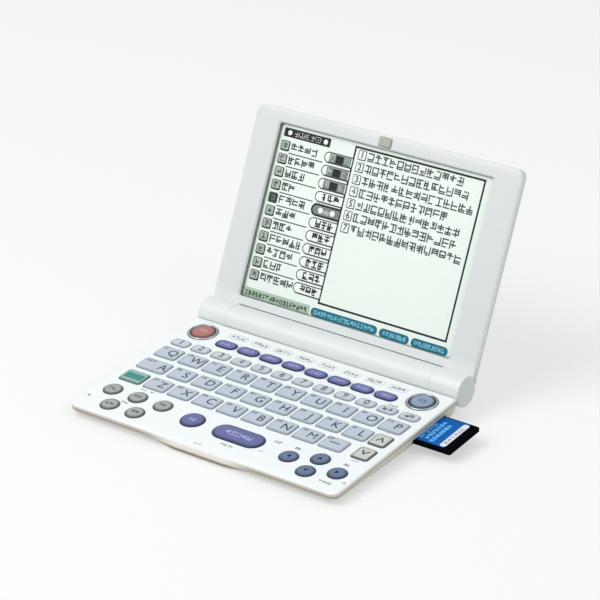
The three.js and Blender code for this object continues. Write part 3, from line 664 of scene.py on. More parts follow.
@dataclass
class Shape:
    """Points and faces of a piece in its own millimetres, with a rim mark per point that sets painted rim
    shade.
    """

    points: list[Vector] = field(default_factory=list)
    faces: list[tuple[int, ...]] = field(default_factory=list)
    rims: list[float] = field(default_factory=list)

    def loft(self, rings: Sequence[Ring], rims: Sequence[float] = ()) -> "Shape":
        """Adds a closed solid through rings of equal counts, anticlockwise seen from its far end.

        Args:
            rings: the rings, from the first end to the last.
            rims: rim mark of each ring for painted rim shade, 0 when left out.

        Returns:
            The shape itself.
        """
        start, count = len(self.points), len(rings[0])
        last = start + (len(rings) - 1) * count
        for ring, mark in zip(rings, list(rims) or [0.0] * len(rings)):
            self.points.extend(ring)
            self.rims.extend([mark] * count)
        for here in range(start, last, count):
            for step in range(count):
                after = (step + 1) % count
                self.faces.append((here + step, here + after, here + count + after, here + count + step))
        self.faces.append(tuple(range(start + count - 1, start - 1, -1)))
        self.faces.append(tuple(range(last, last + count)))
        return self

    def plate(self, outline: Ring, low: float, high: float) -> "Shape":
        """Adds a flat plate of one outline."""
        return self.loft([at_height(outline, low), at_height(outline, high)])

    def stack(self, outline: OutlineAt, levels: Iterable[Pair], rims: Sequence[float] = ()) -> "Shape":
        """Adds a closed solid through one outline at pairs of height and offset."""
        return self.loft([at_height(outline(offset), z) for z, offset in levels], rims)

    def bar(self, rect: Rect, low: float, high: float) -> "Shape":
        """Adds a square-cornered bar from left, right, bottom and top edges."""
        x0, x1, y0, y1 = rect
        return self.plate([Vector((*p, 0)) for p in ((x0, y0), (x1, y0), (x1, y1), (x0, y1))], low, high)

    def tile(self, centre: Pair, size: Pair, radius: float, low: float, high: float) -> "Shape":
        """Adds a flat tile with rounded corners."""
        return self.plate(rounded_outline(centre, *size, radius), low, high)

    def disc(self, centre: Pair, radius: float, low: float, high: float, steps: int = 24) -> "Shape":
        """Adds a flat disc."""
        return self.plate(circle_at(centre, radius, steps)(0.0), low, high)

    def strokes(
        self, rng: random.Random, centre: Pair, size: Pair, count: int, low: float, high: float, weight: float
    ) -> "Shape":
        """Adds a line of small crossed strokes that reads as fine print from a step away.

        Args:
            rng: seeded source of the stroke places.
            centre: X and Y of the middle of the line.
            size: width and height of the line.
            count: number of groups in the line.
            low: lower height of the strokes.
            high: upper height of the strokes.
            weight: thickness of a stroke as a share of the height.

        Returns:
            The shape itself.
        """
        cell, tall = size[0] / count, size[1]
        left, bottom = centre[0] - size[0] / 2, centre[1] - tall / 2
        half = tall * weight / 2
        for at in range(count):
            start, end = left + cell * (at + 0.08), left + cell * (at + 0.92)
            for row in rng.sample(range(5), rng.choice((2, 3, 3))):
                y = bottom + half + (tall - 2 * half) * row / 4
                cut = (end - start) * rng.choice((0.0, 0.0, 0.3))
                self.bar((start + cut * rng.random(), end - cut, y - half, y + half), low, high)
            for column in rng.sample(range(3), rng.choice((1, 2))):
                x = start + half + (end - start - 2 * half) * column / 2
                foot = rng.choice((0.0, 0.25)) * tall
                self.bar((x - half, x + half, bottom + foot, bottom + tall), low, high - 0.002)
        return self

    def upright(self, x: float, y: float) -> "Shape":
        """Turns print that was drawn round the origin a quarter back and moves its middle to a place."""
        self.points = [Vector((x + p.y, y - p.x, p.z)) for p in self.points]
        return self

    def mesh(self, name: str) -> Mesh:
        """Makes the mesh, still in millimetres.

        Args:
            name: name of the mesh.

        Returns:
            The mesh.
        """
        mesh = bpy.data.meshes.new(name)
        mesh.from_pydata([tuple(p) for p in self.points], [], self.faces)
        mesh.attributes.new("rim_shade", "FLOAT", "POINT").data.foreach_set("value", self.rims)
        mesh.update()
        return mesh


def at_height(outline: Ring, z: float) -> Ring:
    """Outline lifted to a height."""
    return [Vector((p.x, p.y, z)) for p in outline]


def arc(centre: Pair, radius: float, start: float, turn: float, steps: int) -> Ring:
    """Points of an arc.

    Args:
        centre: X and Y of the centre.
        radius: radius of the arc.
        start: first angle in radians.
        turn: angle that the arc covers in radians.
        steps: number of steps.

    Returns:
        One point more than the steps.
    """
    angles = [start + turn * step / steps for step in range(steps + 1)]
    return [Vector((centre[0] + radius * math.cos(a), centre[1] + radius * math.sin(a), 0)) for a in angles]


def rounded_outline(centre: Pair, width: float, depth: float, radius: float) -> Ring:
    """Rounded rectangle, anticlockwise.

    Args:
        centre: X and Y of the middle.
        width: size along X.
        depth: size along Y.
        radius: corner radius.

    Returns:
        The outline at height 0.
    """
    half_x, half_y = width / 2 - radius, depth / 2 - radius
    points: Ring = []
    for side_x, side_y, turn in ((1, -1, -1), (1, 1, 0), (-1, 1, 1), (-1, -1, 2)):
        middle = (centre[0] + side_x * half_x, centre[1] + side_y * half_y)
        points += arc(middle, radius, QUARTER * turn, QUARTER, CORNER_STEPS)
    return points


def box_at(centre: Pair, width: float, depth: float, radius: float) -> OutlineAt:
    """Rounded rectangle that can be grown by an offset."""
    return lambda offset: rounded_outline(
        centre, width + 2 * offset, depth + 2 * offset, max(radius + offset, 0.05))


def circle_at(centre: Pair, radius: float, steps: int = 48) -> OutlineAt:
    """Circle that can be grown by an offset."""
    return lambda offset: arc(centre, radius + offset, 0.0, math.tau, steps)[:-1]


def along_x(profile: Sequence[Pair], low: float, high: float) -> Shape:
    """Prism along X of a profile in Y and Z, anticlockwise seen from the right end."""
    return Shape().loft([[Vector((x, y, z)) for y, z in profile] for x in (low, high)])


def turned_along_x(stations: Sequence[Pair], y: float, z: float, steps: int = 72) -> Shape:
    """Round piece along X.

    Args:
        stations: pairs of place and radius, from left to right.
        y: Y of the axis.
        z: Z of the axis.
        steps: steps round the axis.

    Returns:
        The piece.
    """
    rings = []
    for x, radius in stations:
        circle = arc((0, 0), radius, 0.0, math.tau, steps)[:-1]
        rings.append([Vector((x, y + p.x, z + p.y)) for p in circle])
    return Shape().loft(rings)


def boolean(base: Mesh, others: Iterable[Mesh], operation: str) -> Mesh:
    """Joins, cuts or intersects closed meshes.

    Args:
        base: the mesh to work on.
        others: the meshes to add or take away; they are used up.
        operation: UNION, DIFFERENCE or INTERSECT.

    Returns:
        The new mesh.
    """
    host = bpy.data.objects.new("boolean_host", base)
    bpy.context.scene.collection.objects.link(host)
    group = bpy.data.collections.new("boolean_tools")
    helpers = [bpy.data.objects.new("boolean_tool", other) for other in others]
    for helper in helpers:
        group.objects.link(helper)
    modifier = host.modifiers.new("boolean", "BOOLEAN")
    modifier.operation, modifier.solver = operation, "MANIFOLD"
    modifier.operand_type, modifier.collection = "COLLECTION", group
    result = evaluated_mesh(host)
    for helper in helpers:
        bpy.data.objects.remove(helper)
    bpy.data.collections.remove(group)
    return result


def evaluated_mesh(host: bpy.types.Object) -> Mesh:
    """Plain mesh of an object as its modifiers leave it.

    Args:
        host: the object, in the scene; it is used up.

    Returns:
        The mesh.
    """
    graph = bpy.context.evaluated_depsgraph_get()
    mesh = bpy.data.meshes.new_from_object(host.evaluated_get(graph))
    bpy.data.objects.remove(host)
    return mesh


def meshes(shapes: Iterable[Shape]) -> list[Mesh]:
    """Makes one mesh of each shape."""
    return [shape.mesh("tool") for shape in shapes]


def joined(parts: Iterable[Mesh], name: str) -> Mesh:
    """Puts meshes together in one, without joining their surfaces.

    Args:
        parts: the meshes.
        name: name of the new mesh.

    Returns:
        The new mesh.
    """
    work = bmesh.new()
    for part in parts:
        work.from_mesh(part)
    mesh = bpy.data.meshes.new(name)
    work.to_mesh(mesh)
    work.free()
    return mesh


def make_piece(
    name: str,
    mesh: Mesh,
    place: Matrix,
    body: str,
    finishes: Sequence[Finish],
    replaces: Sequence[str] = (),
) -> None:
    """Places a mesh in the frame as one riding piece.

    Args:
        name: name of the piece.
        mesh: the mesh in millimetres.
        place: matrix from the piece's millimetres to metres in the frame.
        body: body that the piece rides on.
        finishes: finishes by paint number.
        replaces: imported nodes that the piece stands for.
    """
    mesh.transform(place)
    mesh.materials.clear()
    for finish in finishes:
        mesh.materials.append(finish.material)
    mesh.polygons.foreach_set("use_smooth", [True] * len(mesh.polygons))
    mesh.set_sharp_from_angle(angle=SMOOTH_ANGLE)
    for polygon in mesh.polygons:
        # Faces that lie level carry no shading from the curves around them
        if abs(polygon.normal.z) > LEVEL_COSINE:
            polygon.use_smooth = False
    mesh.name = name
    piece = bpy.data.objects.new(name, mesh)
    bpy.context.scene.collection.objects.link(piece)
    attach(piece, body)
    if replaces:
        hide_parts(*replaces)
    LOG.info("%s rides on %s with %d faces", name, body, len(mesh.polygons))


# Geometry Nodes


class NodeTree(Tree):
    """A Geometry Nodes tree with named inputs, baked to a plain mesh."""

    def __init__(self, name: str) -> None:
        """Starts an empty tree.

        Args:
            name: name of the tree.
        """
        super().__init__(bpy.data.node_groups.new(name, "GeometryNodeTree"))
        self.tree.interface.new_socket("Geometry", in_out="OUTPUT", socket_type="NodeSocketGeometry")
        self.inputs = self.tree.nodes.new("NodeGroupInput")
        self.given: dict[str, object] = {}

    def size(self, name: str, given: object) -> NodeSocket:
        """Adds a named input.

        Args:
            name: name of the input.
            given: value that the modifier passes in, which also says its kind.

        Returns:
            The socket to link from.
        """
        kind = {int: "Int", float: "Float", Vector: "Vector"}.get(type(given), "Object")
        item = self.tree.interface.new_socket(name, in_out="INPUT", socket_type=f"NodeSocket{kind}")
        self.given[item.identifier] = given
        return self.inputs.outputs[name]

    def bake(self, result: NodeSocket, finish: Finish) -> Mesh:
        """Realizes the instances, sets the material and returns a plain mesh.

        Args:
            result: geometry to show.
            finish: finish of the whole result.

        Returns:
            The evaluated mesh.
        """
        real = self.node("GeometryNodeRealizeInstances", {}, {0: result})
        painted = self.node("GeometryNodeSetMaterial", {}, {0: real.outputs[0], 2: finish.material})
        self.node("NodeGroupOutput", {}, {0: painted.outputs[0]})
        host = bpy.data.objects.new("node_host", bpy.data.meshes.new("node_host"))
        bpy.context.scene.collection.objects.link(host)
        modifier = host.modifiers.new("nodes", "NODES")
        modifier.node_group = self.tree
        for identifier, given in self.given.items():
            modifier[identifier] = given
        return evaluated_mesh(host)


def repeated_along(source: Mesh, count: int, first: Vector, step: Vector, finish: Finish) -> Mesh:
    """Repeats a mesh along a line.

    Args:
        source: the mesh to repeat.
        count: number of copies.
        first: place of the first copy.
        step: step from one copy to the next.
        finish: finish of the copies.

    Returns:
        One mesh with all the copies.
    """
    tree = NodeTree("row_of_copies")
    original = bpy.data.objects.new("row_source", source)
    line = tree.node("GeometryNodeMeshLine", {}, {
        "Count": tree.size("Count", count),
        "Start Location": tree.size("First", first),
        "Offset": tree.size("Step", step),
    })
    info = tree.node("GeometryNodeObjectInfo", {}, {
        "Object": tree.size("Source", original),
    })
    copies = tree.node("GeometryNodeInstanceOnPoints", {}, {
        "Points": line.outputs[0],
        "Instance": info.outputs["Geometry"],
    })
    mesh = tree.bake(copies.outputs[0], finish)
    bpy.data.objects.remove(original)
    return mesh


def ring_mesh(inner: float, outer: float, low: float, high: float, finish: Finish) -> Mesh:
    """Rounded ring made by sweeping a rounded bar round a circle.

    Args:
        inner: inner radius.
        outer: outer radius.
        low: lowest height.
        high: highest height.
        finish: finish of the ring.

    Returns:
        The ring round the origin.
    """
    tree = NodeTree("swept_ring")
    middle, width, height = (inner + outer) / 2, outer - inner, high - low
    path = tree.node("GeometryNodeCurvePrimitiveCircle", {}, {
        "Resolution": 96,
        "Radius": tree.size("Radius", middle),
    })
    bar = tree.node("GeometryNodeCurvePrimitiveQuadrilateral", {}, {
        "Width": tree.size("Width", width),
        "Height": tree.size("Height", height),
    })
    soft = tree.node("GeometryNodeFilletCurve", {"mode": "POLY"}, {
        "Curve": bar.outputs[0],
        "Count": 6,
        "Radius": tree.size("Edge", width * 0.45),
    })
    swept = tree.node("GeometryNodeCurveToMesh", {}, {
        "Curve": path.outputs[0],
        "Profile Curve": soft.outputs[0],
    })
    lifted = tree.node("GeometryNodeTransform", {}, {
        "Geometry": swept.outputs[0],
        "Translation": tree.size("Middle", Vector((0, 0, (low + high) / 2))),
    })
    return tree.bake(lifted.outputs[0], finish)



def smooth_share(x: float, low: float, high: float) -> float:
    """Smooth step from 0 at low to 1 at high."""
    share = min(1.0, max(0.0, (x - low) / (high - low)))
    return share * share * (3 - 2 * share)


def quarter(steps: int) -> list[Pair]:
    """Cosine and sine of a quarter turn, in steps."""
    angles = [QUARTER * step / steps for step in range(steps + 1)]
    return [(math.cos(a), math.sin(a)) for a in angles]


def arc_points(y: float, z: float, radius: float, low: float, high: float, steps: int) -> list[Pair]:
    """Arc in Y and Z between two angles in degrees."""
    points = arc((y, z), radius, math.radians(low), math.radians(high - low), steps)
    return [(p.x, p.y) for p in points]


def bore_pair(low: float, high: float, y: float, z: float) -> list[Shape]:
    """Bores of the two hinge pins, from low to high on both sides of the middle."""
    bore = SIZES.hinge_bore
    return [turned_along_x([(a, bore), (b, bore)], y, z) for a, b in ((low, high), (-high, -low))]


# Growth of a glyph's outline: an M and a 4 close up when they grow, and a 9 loses its tail
PLAIN_GROWTH = 0.055
GROWTH = {"M": 0.0, "4": 0.0, "9": 0.03}


def lettering(text: str, centre: Pair, size: float, low: float, high: float) -> Mesh:
    """Raised letters or digits.

    Args:
        text: the letters.
        centre: X and Y of their middle.
        size: type size.
        low: lower height.
        high: upper height.

    Returns:
        The mesh in millimetres.
    """
    curve = bpy.data.curves.new("lettering", "FONT")
    curve.body, curve.size = text, size
    curve.align_x, curve.align_y = "CENTER", "CENTER"
    curve.extrude, curve.offset = (high - low) / 2, GROWTH.get(text, PLAIN_GROWTH)
    host = bpy.data.objects.new("lettering", curve)
    bpy.context.scene.collection.objects.link(host)
    mesh = evaluated_mesh(host)
    mesh.transform(Matrix.Translation((*centre, (low + high) / 2)))
    mesh.attributes.new("rim_shade", "FLOAT", "POINT").data.foreach_set("value", [0.0] * len(mesh.vertices))
    return mesh


class Finishes:
    """Finishes of the whole object."""

    shell = Plastic("shell_plastic", (237, 242, 242), 0.36)
    # The deck's skirt carries painted shade, darkest at its foot, with painted light on the thumb lip
    deck = ShadeBandedPlastic(
        "deck_plastic_painted_shade", (239, 245, 245), (204, 200, 188), (136, 130, 112), (238, 237, 231))
    # The hull carries painted shade towards the floor and painted light on the thumb lip
    hull = ShadedHullPlastic("hull_plastic_painted_shade", (204, 200, 186), (236, 234, 224), (112, 107, 88))
    # Painted shade: the lid, barrel and bezel plastics are darker copies of the deck's white plastic, lighter
    # beside the hinge and greener on the knuckle ends
    lid = Plastic("lid_plastic_painted_shade", (216, 220, 220), 0.34)
    barrel = Plastic("barrel_plastic_painted_shade", (222, 227, 227), 0.34)
    bezel = HingePlastic("bezel_plastic_painted_shade", (214, 218, 218), (224, 229, 229), (200, 208, 203))
    # The rim colours of the keys are painted shade on their walls and edges, where the gaps between keys fall
    # in shade
    letter = Plastic("letter_key_plastic", (186, 197, 210), 0.42, rim_shade=(156, 166, 180))
    number = Plastic("number_key_plastic", (196, 204, 212), 0.42, rim_shade=(164, 173, 182))
    violet = Plastic("violet_key_plastic", (86, 94, 150), 0.34, rim_shade=(36, 41, 80))
    pill = Plastic("pill_key_plastic", (96, 106, 163), 0.34, rim_shade=(40, 46, 88))
    arrow = Plastic("arrow_key_plastic", (90, 110, 146), 0.34, rim_shade=(48, 62, 88))
    grey = Plastic("grey_key_plastic", (162, 165, 166), 0.4, rim_shade=(92, 95, 98))
    green = Plastic("green_key_plastic", (138, 181, 179), 0.4, rim_shade=(88, 124, 118))
    red = Plastic("red_key_plastic", (168, 103, 97), 0.32, rim_shade=(112, 62, 58))
    blue = Plastic("blue_key_plastic", (132, 153, 176), 0.3, rim_shade=(48, 60, 84))
    page = Plastic("page_key_plastic", (198, 202, 196), 0.45, rim_shade=(88, 98, 96))
    chrome = Metal("ring_chrome", (168, 172, 178), 0.16)
    steel = Metal("bare_steel", (176, 178, 182), 0.3, brushed=True)
    foot = Rubber("foot_rubber", (52, 53, 56))
    sheet = Rubber("sheet_rubber", (60, 61, 64))
    pad = Plastic("pad_rubber", (174, 174, 162), 0.75, relief=0.00002)
    pane = Pane("display_pane", (232, 242, 236))
    ground = DisplayGround("display_ground", (236, 246, 239))
    card = Plastic("card_plastic", (11, 12, 15), 0.5, sheen=0.0)
    label = Ink("card_label_ink", (4, 92, 170), 0.4, 0.06)
    label_ink = Ink("card_label_print", (108, 180, 242), 0.4, 0.1)
    board = Laminate("board_laminate", (30, 92, 58), (70, 140, 84))
    flex = Plastic("flex_film", (196, 128, 52), 0.35, relief=0.000002)
    cell = Wrap("cell_wrap", (44, 70, 104), (196, 164, 82), (190, 192, 196), 0.089)
    dark_ink = Ink("dark_ink", (42, 46, 66))
    navy_ink = Ink("navy_ink", (10, 18, 58), 0.4, 0.1)
    grey_ink = Ink("grey_ink", (112, 118, 132))
    faint_ink = Ink("faint_ink", (172, 177, 190))
    pale_ink = Ink("pale_ink", (226, 228, 240))
    violet_ink = Ink("violet_ink", (164, 164, 216))
    rose_ink = Ink("rose_ink", (214, 158, 150))
    slate_ink = Ink("slate_ink", (84, 98, 132))
    band_ink = Ink("band_ink", (202, 203, 238))
    green_ink = Ink("green_ink", (52, 130, 118))
    line = Ink("display_line", (8, 12, 10), 0.4, 0.04)
    soft_line = Ink("display_soft_line", (52, 60, 56), 0.4, 0.04)
    half_tone = Ink("display_half_tone", (122, 130, 124), 0.4, 0.04)
    shade = Ink("display_shade", (172, 184, 172), 0.4, 0.04)
    paper = Ink("display_paper", (238, 247, 240), 0.36)
    # The surround ring is partly the display's pale border and partly painted shade of the window's recess
    # wall
    surround = Ink("display_surround", (168, 176, 168), 0.4, 0.04)
    strip_green = Ink("strip_green", (177, 198, 178), 0.4, 0.04)
    strip_teal = Ink("strip_teal", (4, 106, 132), 0.4, 0.04)
    strip_pale = Ink("strip_pale", (120, 196, 216), 0.4, 0.04)
    strip_print = Ink("strip_print", (66, 92, 70), 0.4, 0.04)


# Key field


class Mark(Enum):
    """Kinds of marks on the keys."""

    LETTER = "letter"
    PRINT = "print"
    DASH = "dash"
    TRIANGLE = "triangle"
    CHEVRON = "chevron"
    PANEL = "panel"


@dataclass(frozen=True)
class Legend:
    """One mark on a key, placed from the key's middle."""

    mark: Mark
    at: Pair
    size: Pair
    text: str = ""
    turn: float = 0.0
    count: int = 2
    paint: int = 0


@dataclass(frozen=True)
class Key:
    """One cap with its outline, middle and marks. The crown rises over a run from the cap's edge."""

    middle: Pair
    outline: OutlineAt
    legends: tuple[Legend, ...]
    crown: float = SIZES.crown
    run: float = 1.1


def cap(key: Key, bottom: float) -> Shape:
    """Cap of a key: straight wall, rounded edge and a low crown, marked for painted rim shade towards its
    edge.

    Args:
        key: the key.
        bottom: height of the foot of the cap.

    Returns:
        The closed cap.
    """
    edge, top = 0.26, SIZES.cap_top
    levels = [(bottom, 0.0, 1.0)]
    levels += [(top - edge + edge * s, -edge * (1 - c), 1.0) for c, s in quarter(4)]
    # Painted shade: the rim mark is full on the wall and edge and fades out over the crown
    for rise, out, mark in ((0.45, 0.3, 0.55), (0.8, 0.65, 0.2), (1.0, 1.0, 0.0)):
        levels.append((top + key.crown * rise, -edge - key.run * out, mark))
    return Shape().stack(key.outline, [level[:2] for level in levels], [mark for *_, mark in levels])


@dataclass
class KeyField:
    """All keys with their flanges, webs and marks."""

    flange_low: float = -2.2
    flange_high: float = -1.7
    flange_margin: float = 0.7
    web_margin: float = 0.5
    letter_size: Pair = (12.1, 9.198)
    corner: float = 1.4
    large_type: Pair = (6.6, 6.6)
    number_pitch: float = 11.68
    number_size: Pair = (9.58, 5.6)
    number_corner: float = 2.2
    number_y: float = 22.45
    page_width: float = 8.6
    wide_width: float = 15.6
    grey_radius: float = 4.4
    arrow_radius: float = 4.3
    back_radius: float = 5.6
    enter_size: Pair = (26.4, 11.2)
    ringed_radius: float = 5.8
    mark_lift: float = 0.02
    mark_sink: float = 0.05
    rng: random.Random = field(default_factory=lambda: random.Random(41))

    def box_key(self, place: Pair, size: Pair, radius: float, *legends: Legend) -> Key:
        """Key with a rounded rectangular cap."""
        return Key(place, box_at(place, *size, radius), legends)

    def disc_key(self, place: Pair, radius: float, *legends: Legend, crown: float = 0.2) -> Key:
        """Key with a round cap."""
        return Key(place, circle_at(place, radius, 56), legends, crown, 1.6)

    def letter(self, across: float, row: int, text: str) -> Key:
        """Letter key: a large letter or dash to the right and a small mark at the upper left.

        Args:
            across: place in letter pitches.
            row: letter row, counted down from 0.
            text: the letter, or a hyphen for the dash.

        Returns:
            The key.
        """
        large = Legend(Mark.LETTER, (2.1, 0.0), self.large_type, text)
        if text == "-":
            large = Legend(Mark.DASH, (0.0, 0.4), (5.2, 0.65))
        small = Legend(Mark.PRINT, (-3.5, 2.8), (3.0, 1.5), paint=1)
        return self.box_key(SIZES.key_place(across, -row), self.letter_size, self.corner, large, small)

    def rows(self) -> dict[str, tuple[Slot, Finish, list[Key]]]:
        """Key rows that share one moulded web, by node name.

        Returns:
            Slot, finish and keys of each row.
        """
        f = Finishes
        marks = [Legend(Mark.LETTER, (0.3, 0.1), (5.2, 5.2), text, paint=1) for text in "1234567890"]
        marks += [Legend(Mark.PRINT, (0.3, 0.1), (5.4, 2.6), paint=paint) for paint in (0, 1)]
        numbers = []
        for at, mark in enumerate(marks):
            place = (SIZES.row_middle_x + (at - 5.5) * self.number_pitch, self.number_y)
            numbers.append(self.box_key(place, self.number_size, self.number_corner, mark))
        wide = self.box_key(
            SIZES.key_place(-4.35, -1), (self.wide_width, self.letter_size[1]), self.corner,
            Legend(Mark.LETTER, (4.8, -0.2), self.large_type, "A"),
            Legend(Mark.PRINT, (-3.6, 2.8), (5.0, 1.5), count=3, paint=1),
        )
        first = [self.letter(-4.46 + at, 0, text) for at, text in enumerate("QWERTYUIOP")]
        second = [wide] + [self.letter(-3.193 + at, 1, text) for at, text in enumerate("SDFGHJKL")]
        third = [self.letter(-3.457 + at, 2, text) for at, text in enumerate("ZXCVBNM-")]
        return {
            "number_row_keys": (Slot.NUMBER, f.number, numbers),
            "letter_row_1_keys": (Slot.LETTER, f.letter, first),
            "letter_row_2_keys": (Slot.LETTER, f.letter, second),
            "letter_row_3_keys": (Slot.LETTER, f.letter, third),
        }

    def singles(self) -> dict[str, tuple[Slot, Finish, Finish, Key]]:
        """Keys that move alone, by node name.

        Returns:
            Slot, finish of the cap, finish of the marks and key of each.
        """
        f, keys, middle = Finishes, {}, (0.0, 0.0)
        few = Legend(Mark.PRINT, middle, (4.4, 2.4))
        for name, x, slot, finish, ink in (("power_key", SIZES.power_x, Slot.RED, f.red, f.rose_ink),
                                           ("round_key", SIZES.round_x, Slot.BLUE, f.blue, f.slate_ink)):
            key = self.disc_key((x, SIZES.ringed_y), self.ringed_radius, few, crown=0.3)
            keys[name] = (slot, finish, ink, key)
        for at in range(8):
            mark = Legend(Mark.PRINT, middle, (5.8, 2.0), count=3)
            place, size = (SIZES.function_x(at), SIZES.function_y), SIZES.function_size
            keys[f"function_key_{at + 1}"] = (
                Slot.PURPLE, f.pill, f.violet_ink, self.box_key(place, size, size[1] / 2, mark))
        panel = Legend(Mark.PANEL, (0.0, -0.1), (9.8, 4.4))
        keys["green_key"] = (Slot.GREEN, f.green, f.green_ink, self.box_key(
            SIZES.key_place(-4.464, -2), self.letter_size, self.corner, panel))
        for row, name, turn in ((-1, "page_up_key", 0.0), (-2, "page_down_key", math.pi)):
            mark = Legend(Mark.CHEVRON, (0.0, 0.4), (4.4, 3.6), turn=turn)
            keys[name] = (Slot.PAGE, f.page, f.dark_ink, self.box_key(
                SIZES.key_place(4.67, row), (self.page_width, self.letter_size[1]), self.corner, mark))
        for at in range(5):
            mark = Legend(Mark.PRINT, middle, (4.2, 2.0))
            place = SIZES.key_place(-4.571 + 0.518 * at, (-3.07, -3.94)[at % 2])
            keys[f"grey_key_{at + 1}"] = (
                Slot.GREY, f.grey, f.dark_ink, self.disc_key(place, self.grey_radius, mark))
        keys["back_key"] = (Slot.PURPLE, f.violet, f.violet_ink, self.disc_key(
            SIZES.key_place(-1.14, -3.28), self.back_radius, few))
        place, size = SIZES.key_place(0.707, -3.3), self.enter_size
        mark = Legend(Mark.PRINT, middle, (15.0, 3.2), count=5)
        keys["enter_key"] = (Slot.PURPLE, f.violet, f.violet_ink, Key(
            place, box_at(place, *size, size[1] / 2), (mark,), 0.2, 1.8))
        for side, across, up, turn in (("left", 2.76, -3.46, QUARTER), ("up", 3.69, -3.035, 0.0),
                                       ("down", 3.7, -3.915, math.pi), ("right", 4.614, -3.475, -QUARTER)):
            mark = Legend(Mark.TRIANGLE, middle, (2.3, 1.9), turn=turn)
            keys[f"arrow_{side}_key"] = (Slot.ARROW, f.arrow, f.navy_ink, self.disc_key(
                SIZES.key_place(across, up), self.arrow_radius, mark))
        return keys

    def outlines(self) -> list[OutlineAt]:
        """Outline of every cap."""
        strips = [key.outline for _, _, keys in self.rows().values() for key in keys]
        return strips + [key.outline for *_, key in self.singles().values()]

    def marks(self, keys: Sequence[Key]) -> Mesh:
        """Marks of a set of keys.

        Args:
            keys: the keys.

        Returns:
            One mesh in millimetres.
        """
        parts = []
        for key in keys:
            top = SIZES.cap_top + key.crown
            for legend in key.legends:
                part = self.mark(legend, key.middle, top - self.mark_sink, top + self.mark_lift)
                part.polygons.foreach_set("material_index", [legend.paint] * len(part.polygons))
                parts.append(part)
        return joined(parts, "marks")

    def mark(self, legend: Legend, middle: Pair, low: float, high: float) -> Mesh:
        """One mark as a mesh.

        Args:
            legend: kind, place and size of the mark.
            middle: middle of the key.
            low: lower height of the mark.
            high: upper height of the mark.

        Returns:
            The mesh in millimetres.
        """
        x, y = middle[0] + legend.at[0], middle[1] + legend.at[1]
        wide, tall = legend.size
        shape = Shape()
        if legend.mark is Mark.LETTER:
            return lettering(legend.text, (x, y), tall, low, high)
        if legend.mark is Mark.PRINT:
            shape.strokes(self.rng, (x, y), legend.size, legend.count, low, high, 0.16)
        elif legend.mark is Mark.DASH:
            shape.bar((x - wide / 2, x + wide / 2, y - tall / 2, y + tall / 2), low, high)
        elif legend.mark is Mark.PANEL:
            shape.tile((x, y), legend.size, 0.5, low, high)
        else:
            corners = [(-wide / 2, -tall / 2), (wide / 2, -tall / 2), (0.0, tall / 2)]
            if legend.mark is Mark.CHEVRON:
                thick = wide * 0.2
                inner = tall / 2 - thick * 2 * tall / wide
                corners[1:1] = [(thick - wide / 2, -tall / 2), (0.0, inner), (wide / 2 - thick, -tall / 2)]
            turn = Matrix.Rotation(legend.turn, 4, "Z")
            shape.plate([turn @ Vector((*p, 0)) + Vector((x, y, 0)) for p in corners], low, high)
        return shape.mesh("mark")

    def strip(self, keys: Sequence[Key], finish: Finish) -> Mesh:
        """Caps of a row on their common web. Equal caps are repeated along the row.

        Args:
            keys: keys of the row, from left to right.
            finish: finish of the row.

        Returns:
            The mesh in millimetres.
        """
        web_z = (self.flange_low + self.flange_high) / 2
        points = [p for key in keys for p in key.outline(self.web_margin)]
        left, right = min(p.x for p in points), max(p.x for p in points)
        low, high = min(p.y for p in points), max(p.y for p in points)
        size = (right - left, high - low)
        web = Shape().tile(((left + right) / 2, (low + high) / 2), size, self.corner,
                           self.flange_low, self.flange_high)
        odd = 1 if len(keys) == 9 else 0
        source = cap(keys[odd], web_z).mesh("cap")
        step = Vector((keys[odd + 1].middle[0] - keys[odd].middle[0], 0, 0))
        equal = repeated_along(source, len(keys) - odd, Vector((0, 0, 0)), step, finish)
        return joined([*meshes([web, *(cap(key, web_z) for key in keys[:odd])]), equal], "strip")

    def build(self) -> None:
        """Makes every key and its marks, riding on the key's own body."""
        f, place = Finishes, SIZES.deck_place
        inks = [f.dark_ink, f.grey_ink]
        for name, (slot, finish, keys) in self.rows().items():
            body = f"{name}_part"
            make_piece(f"{name}_caps", self.strip(keys, finish), place, body, [finish], [name])
            make_piece(f"{name}_marks", self.marks(keys), place, body, inks)
        for name, (slot, finish, ink, key) in self.singles().items():
            body = f"{name}_part"
            flange = Shape().plate(key.outline(self.flange_margin), self.flange_low, self.flange_high)
            mesh = joined(meshes([flange, cap(key, self.flange_high)]), name)
            make_piece(f"{name}_cap", mesh, place, body, [finish], [name])
            make_piece(f"{name}_mark", self.marks([key]), place, body, [ink])


# Keyboard half


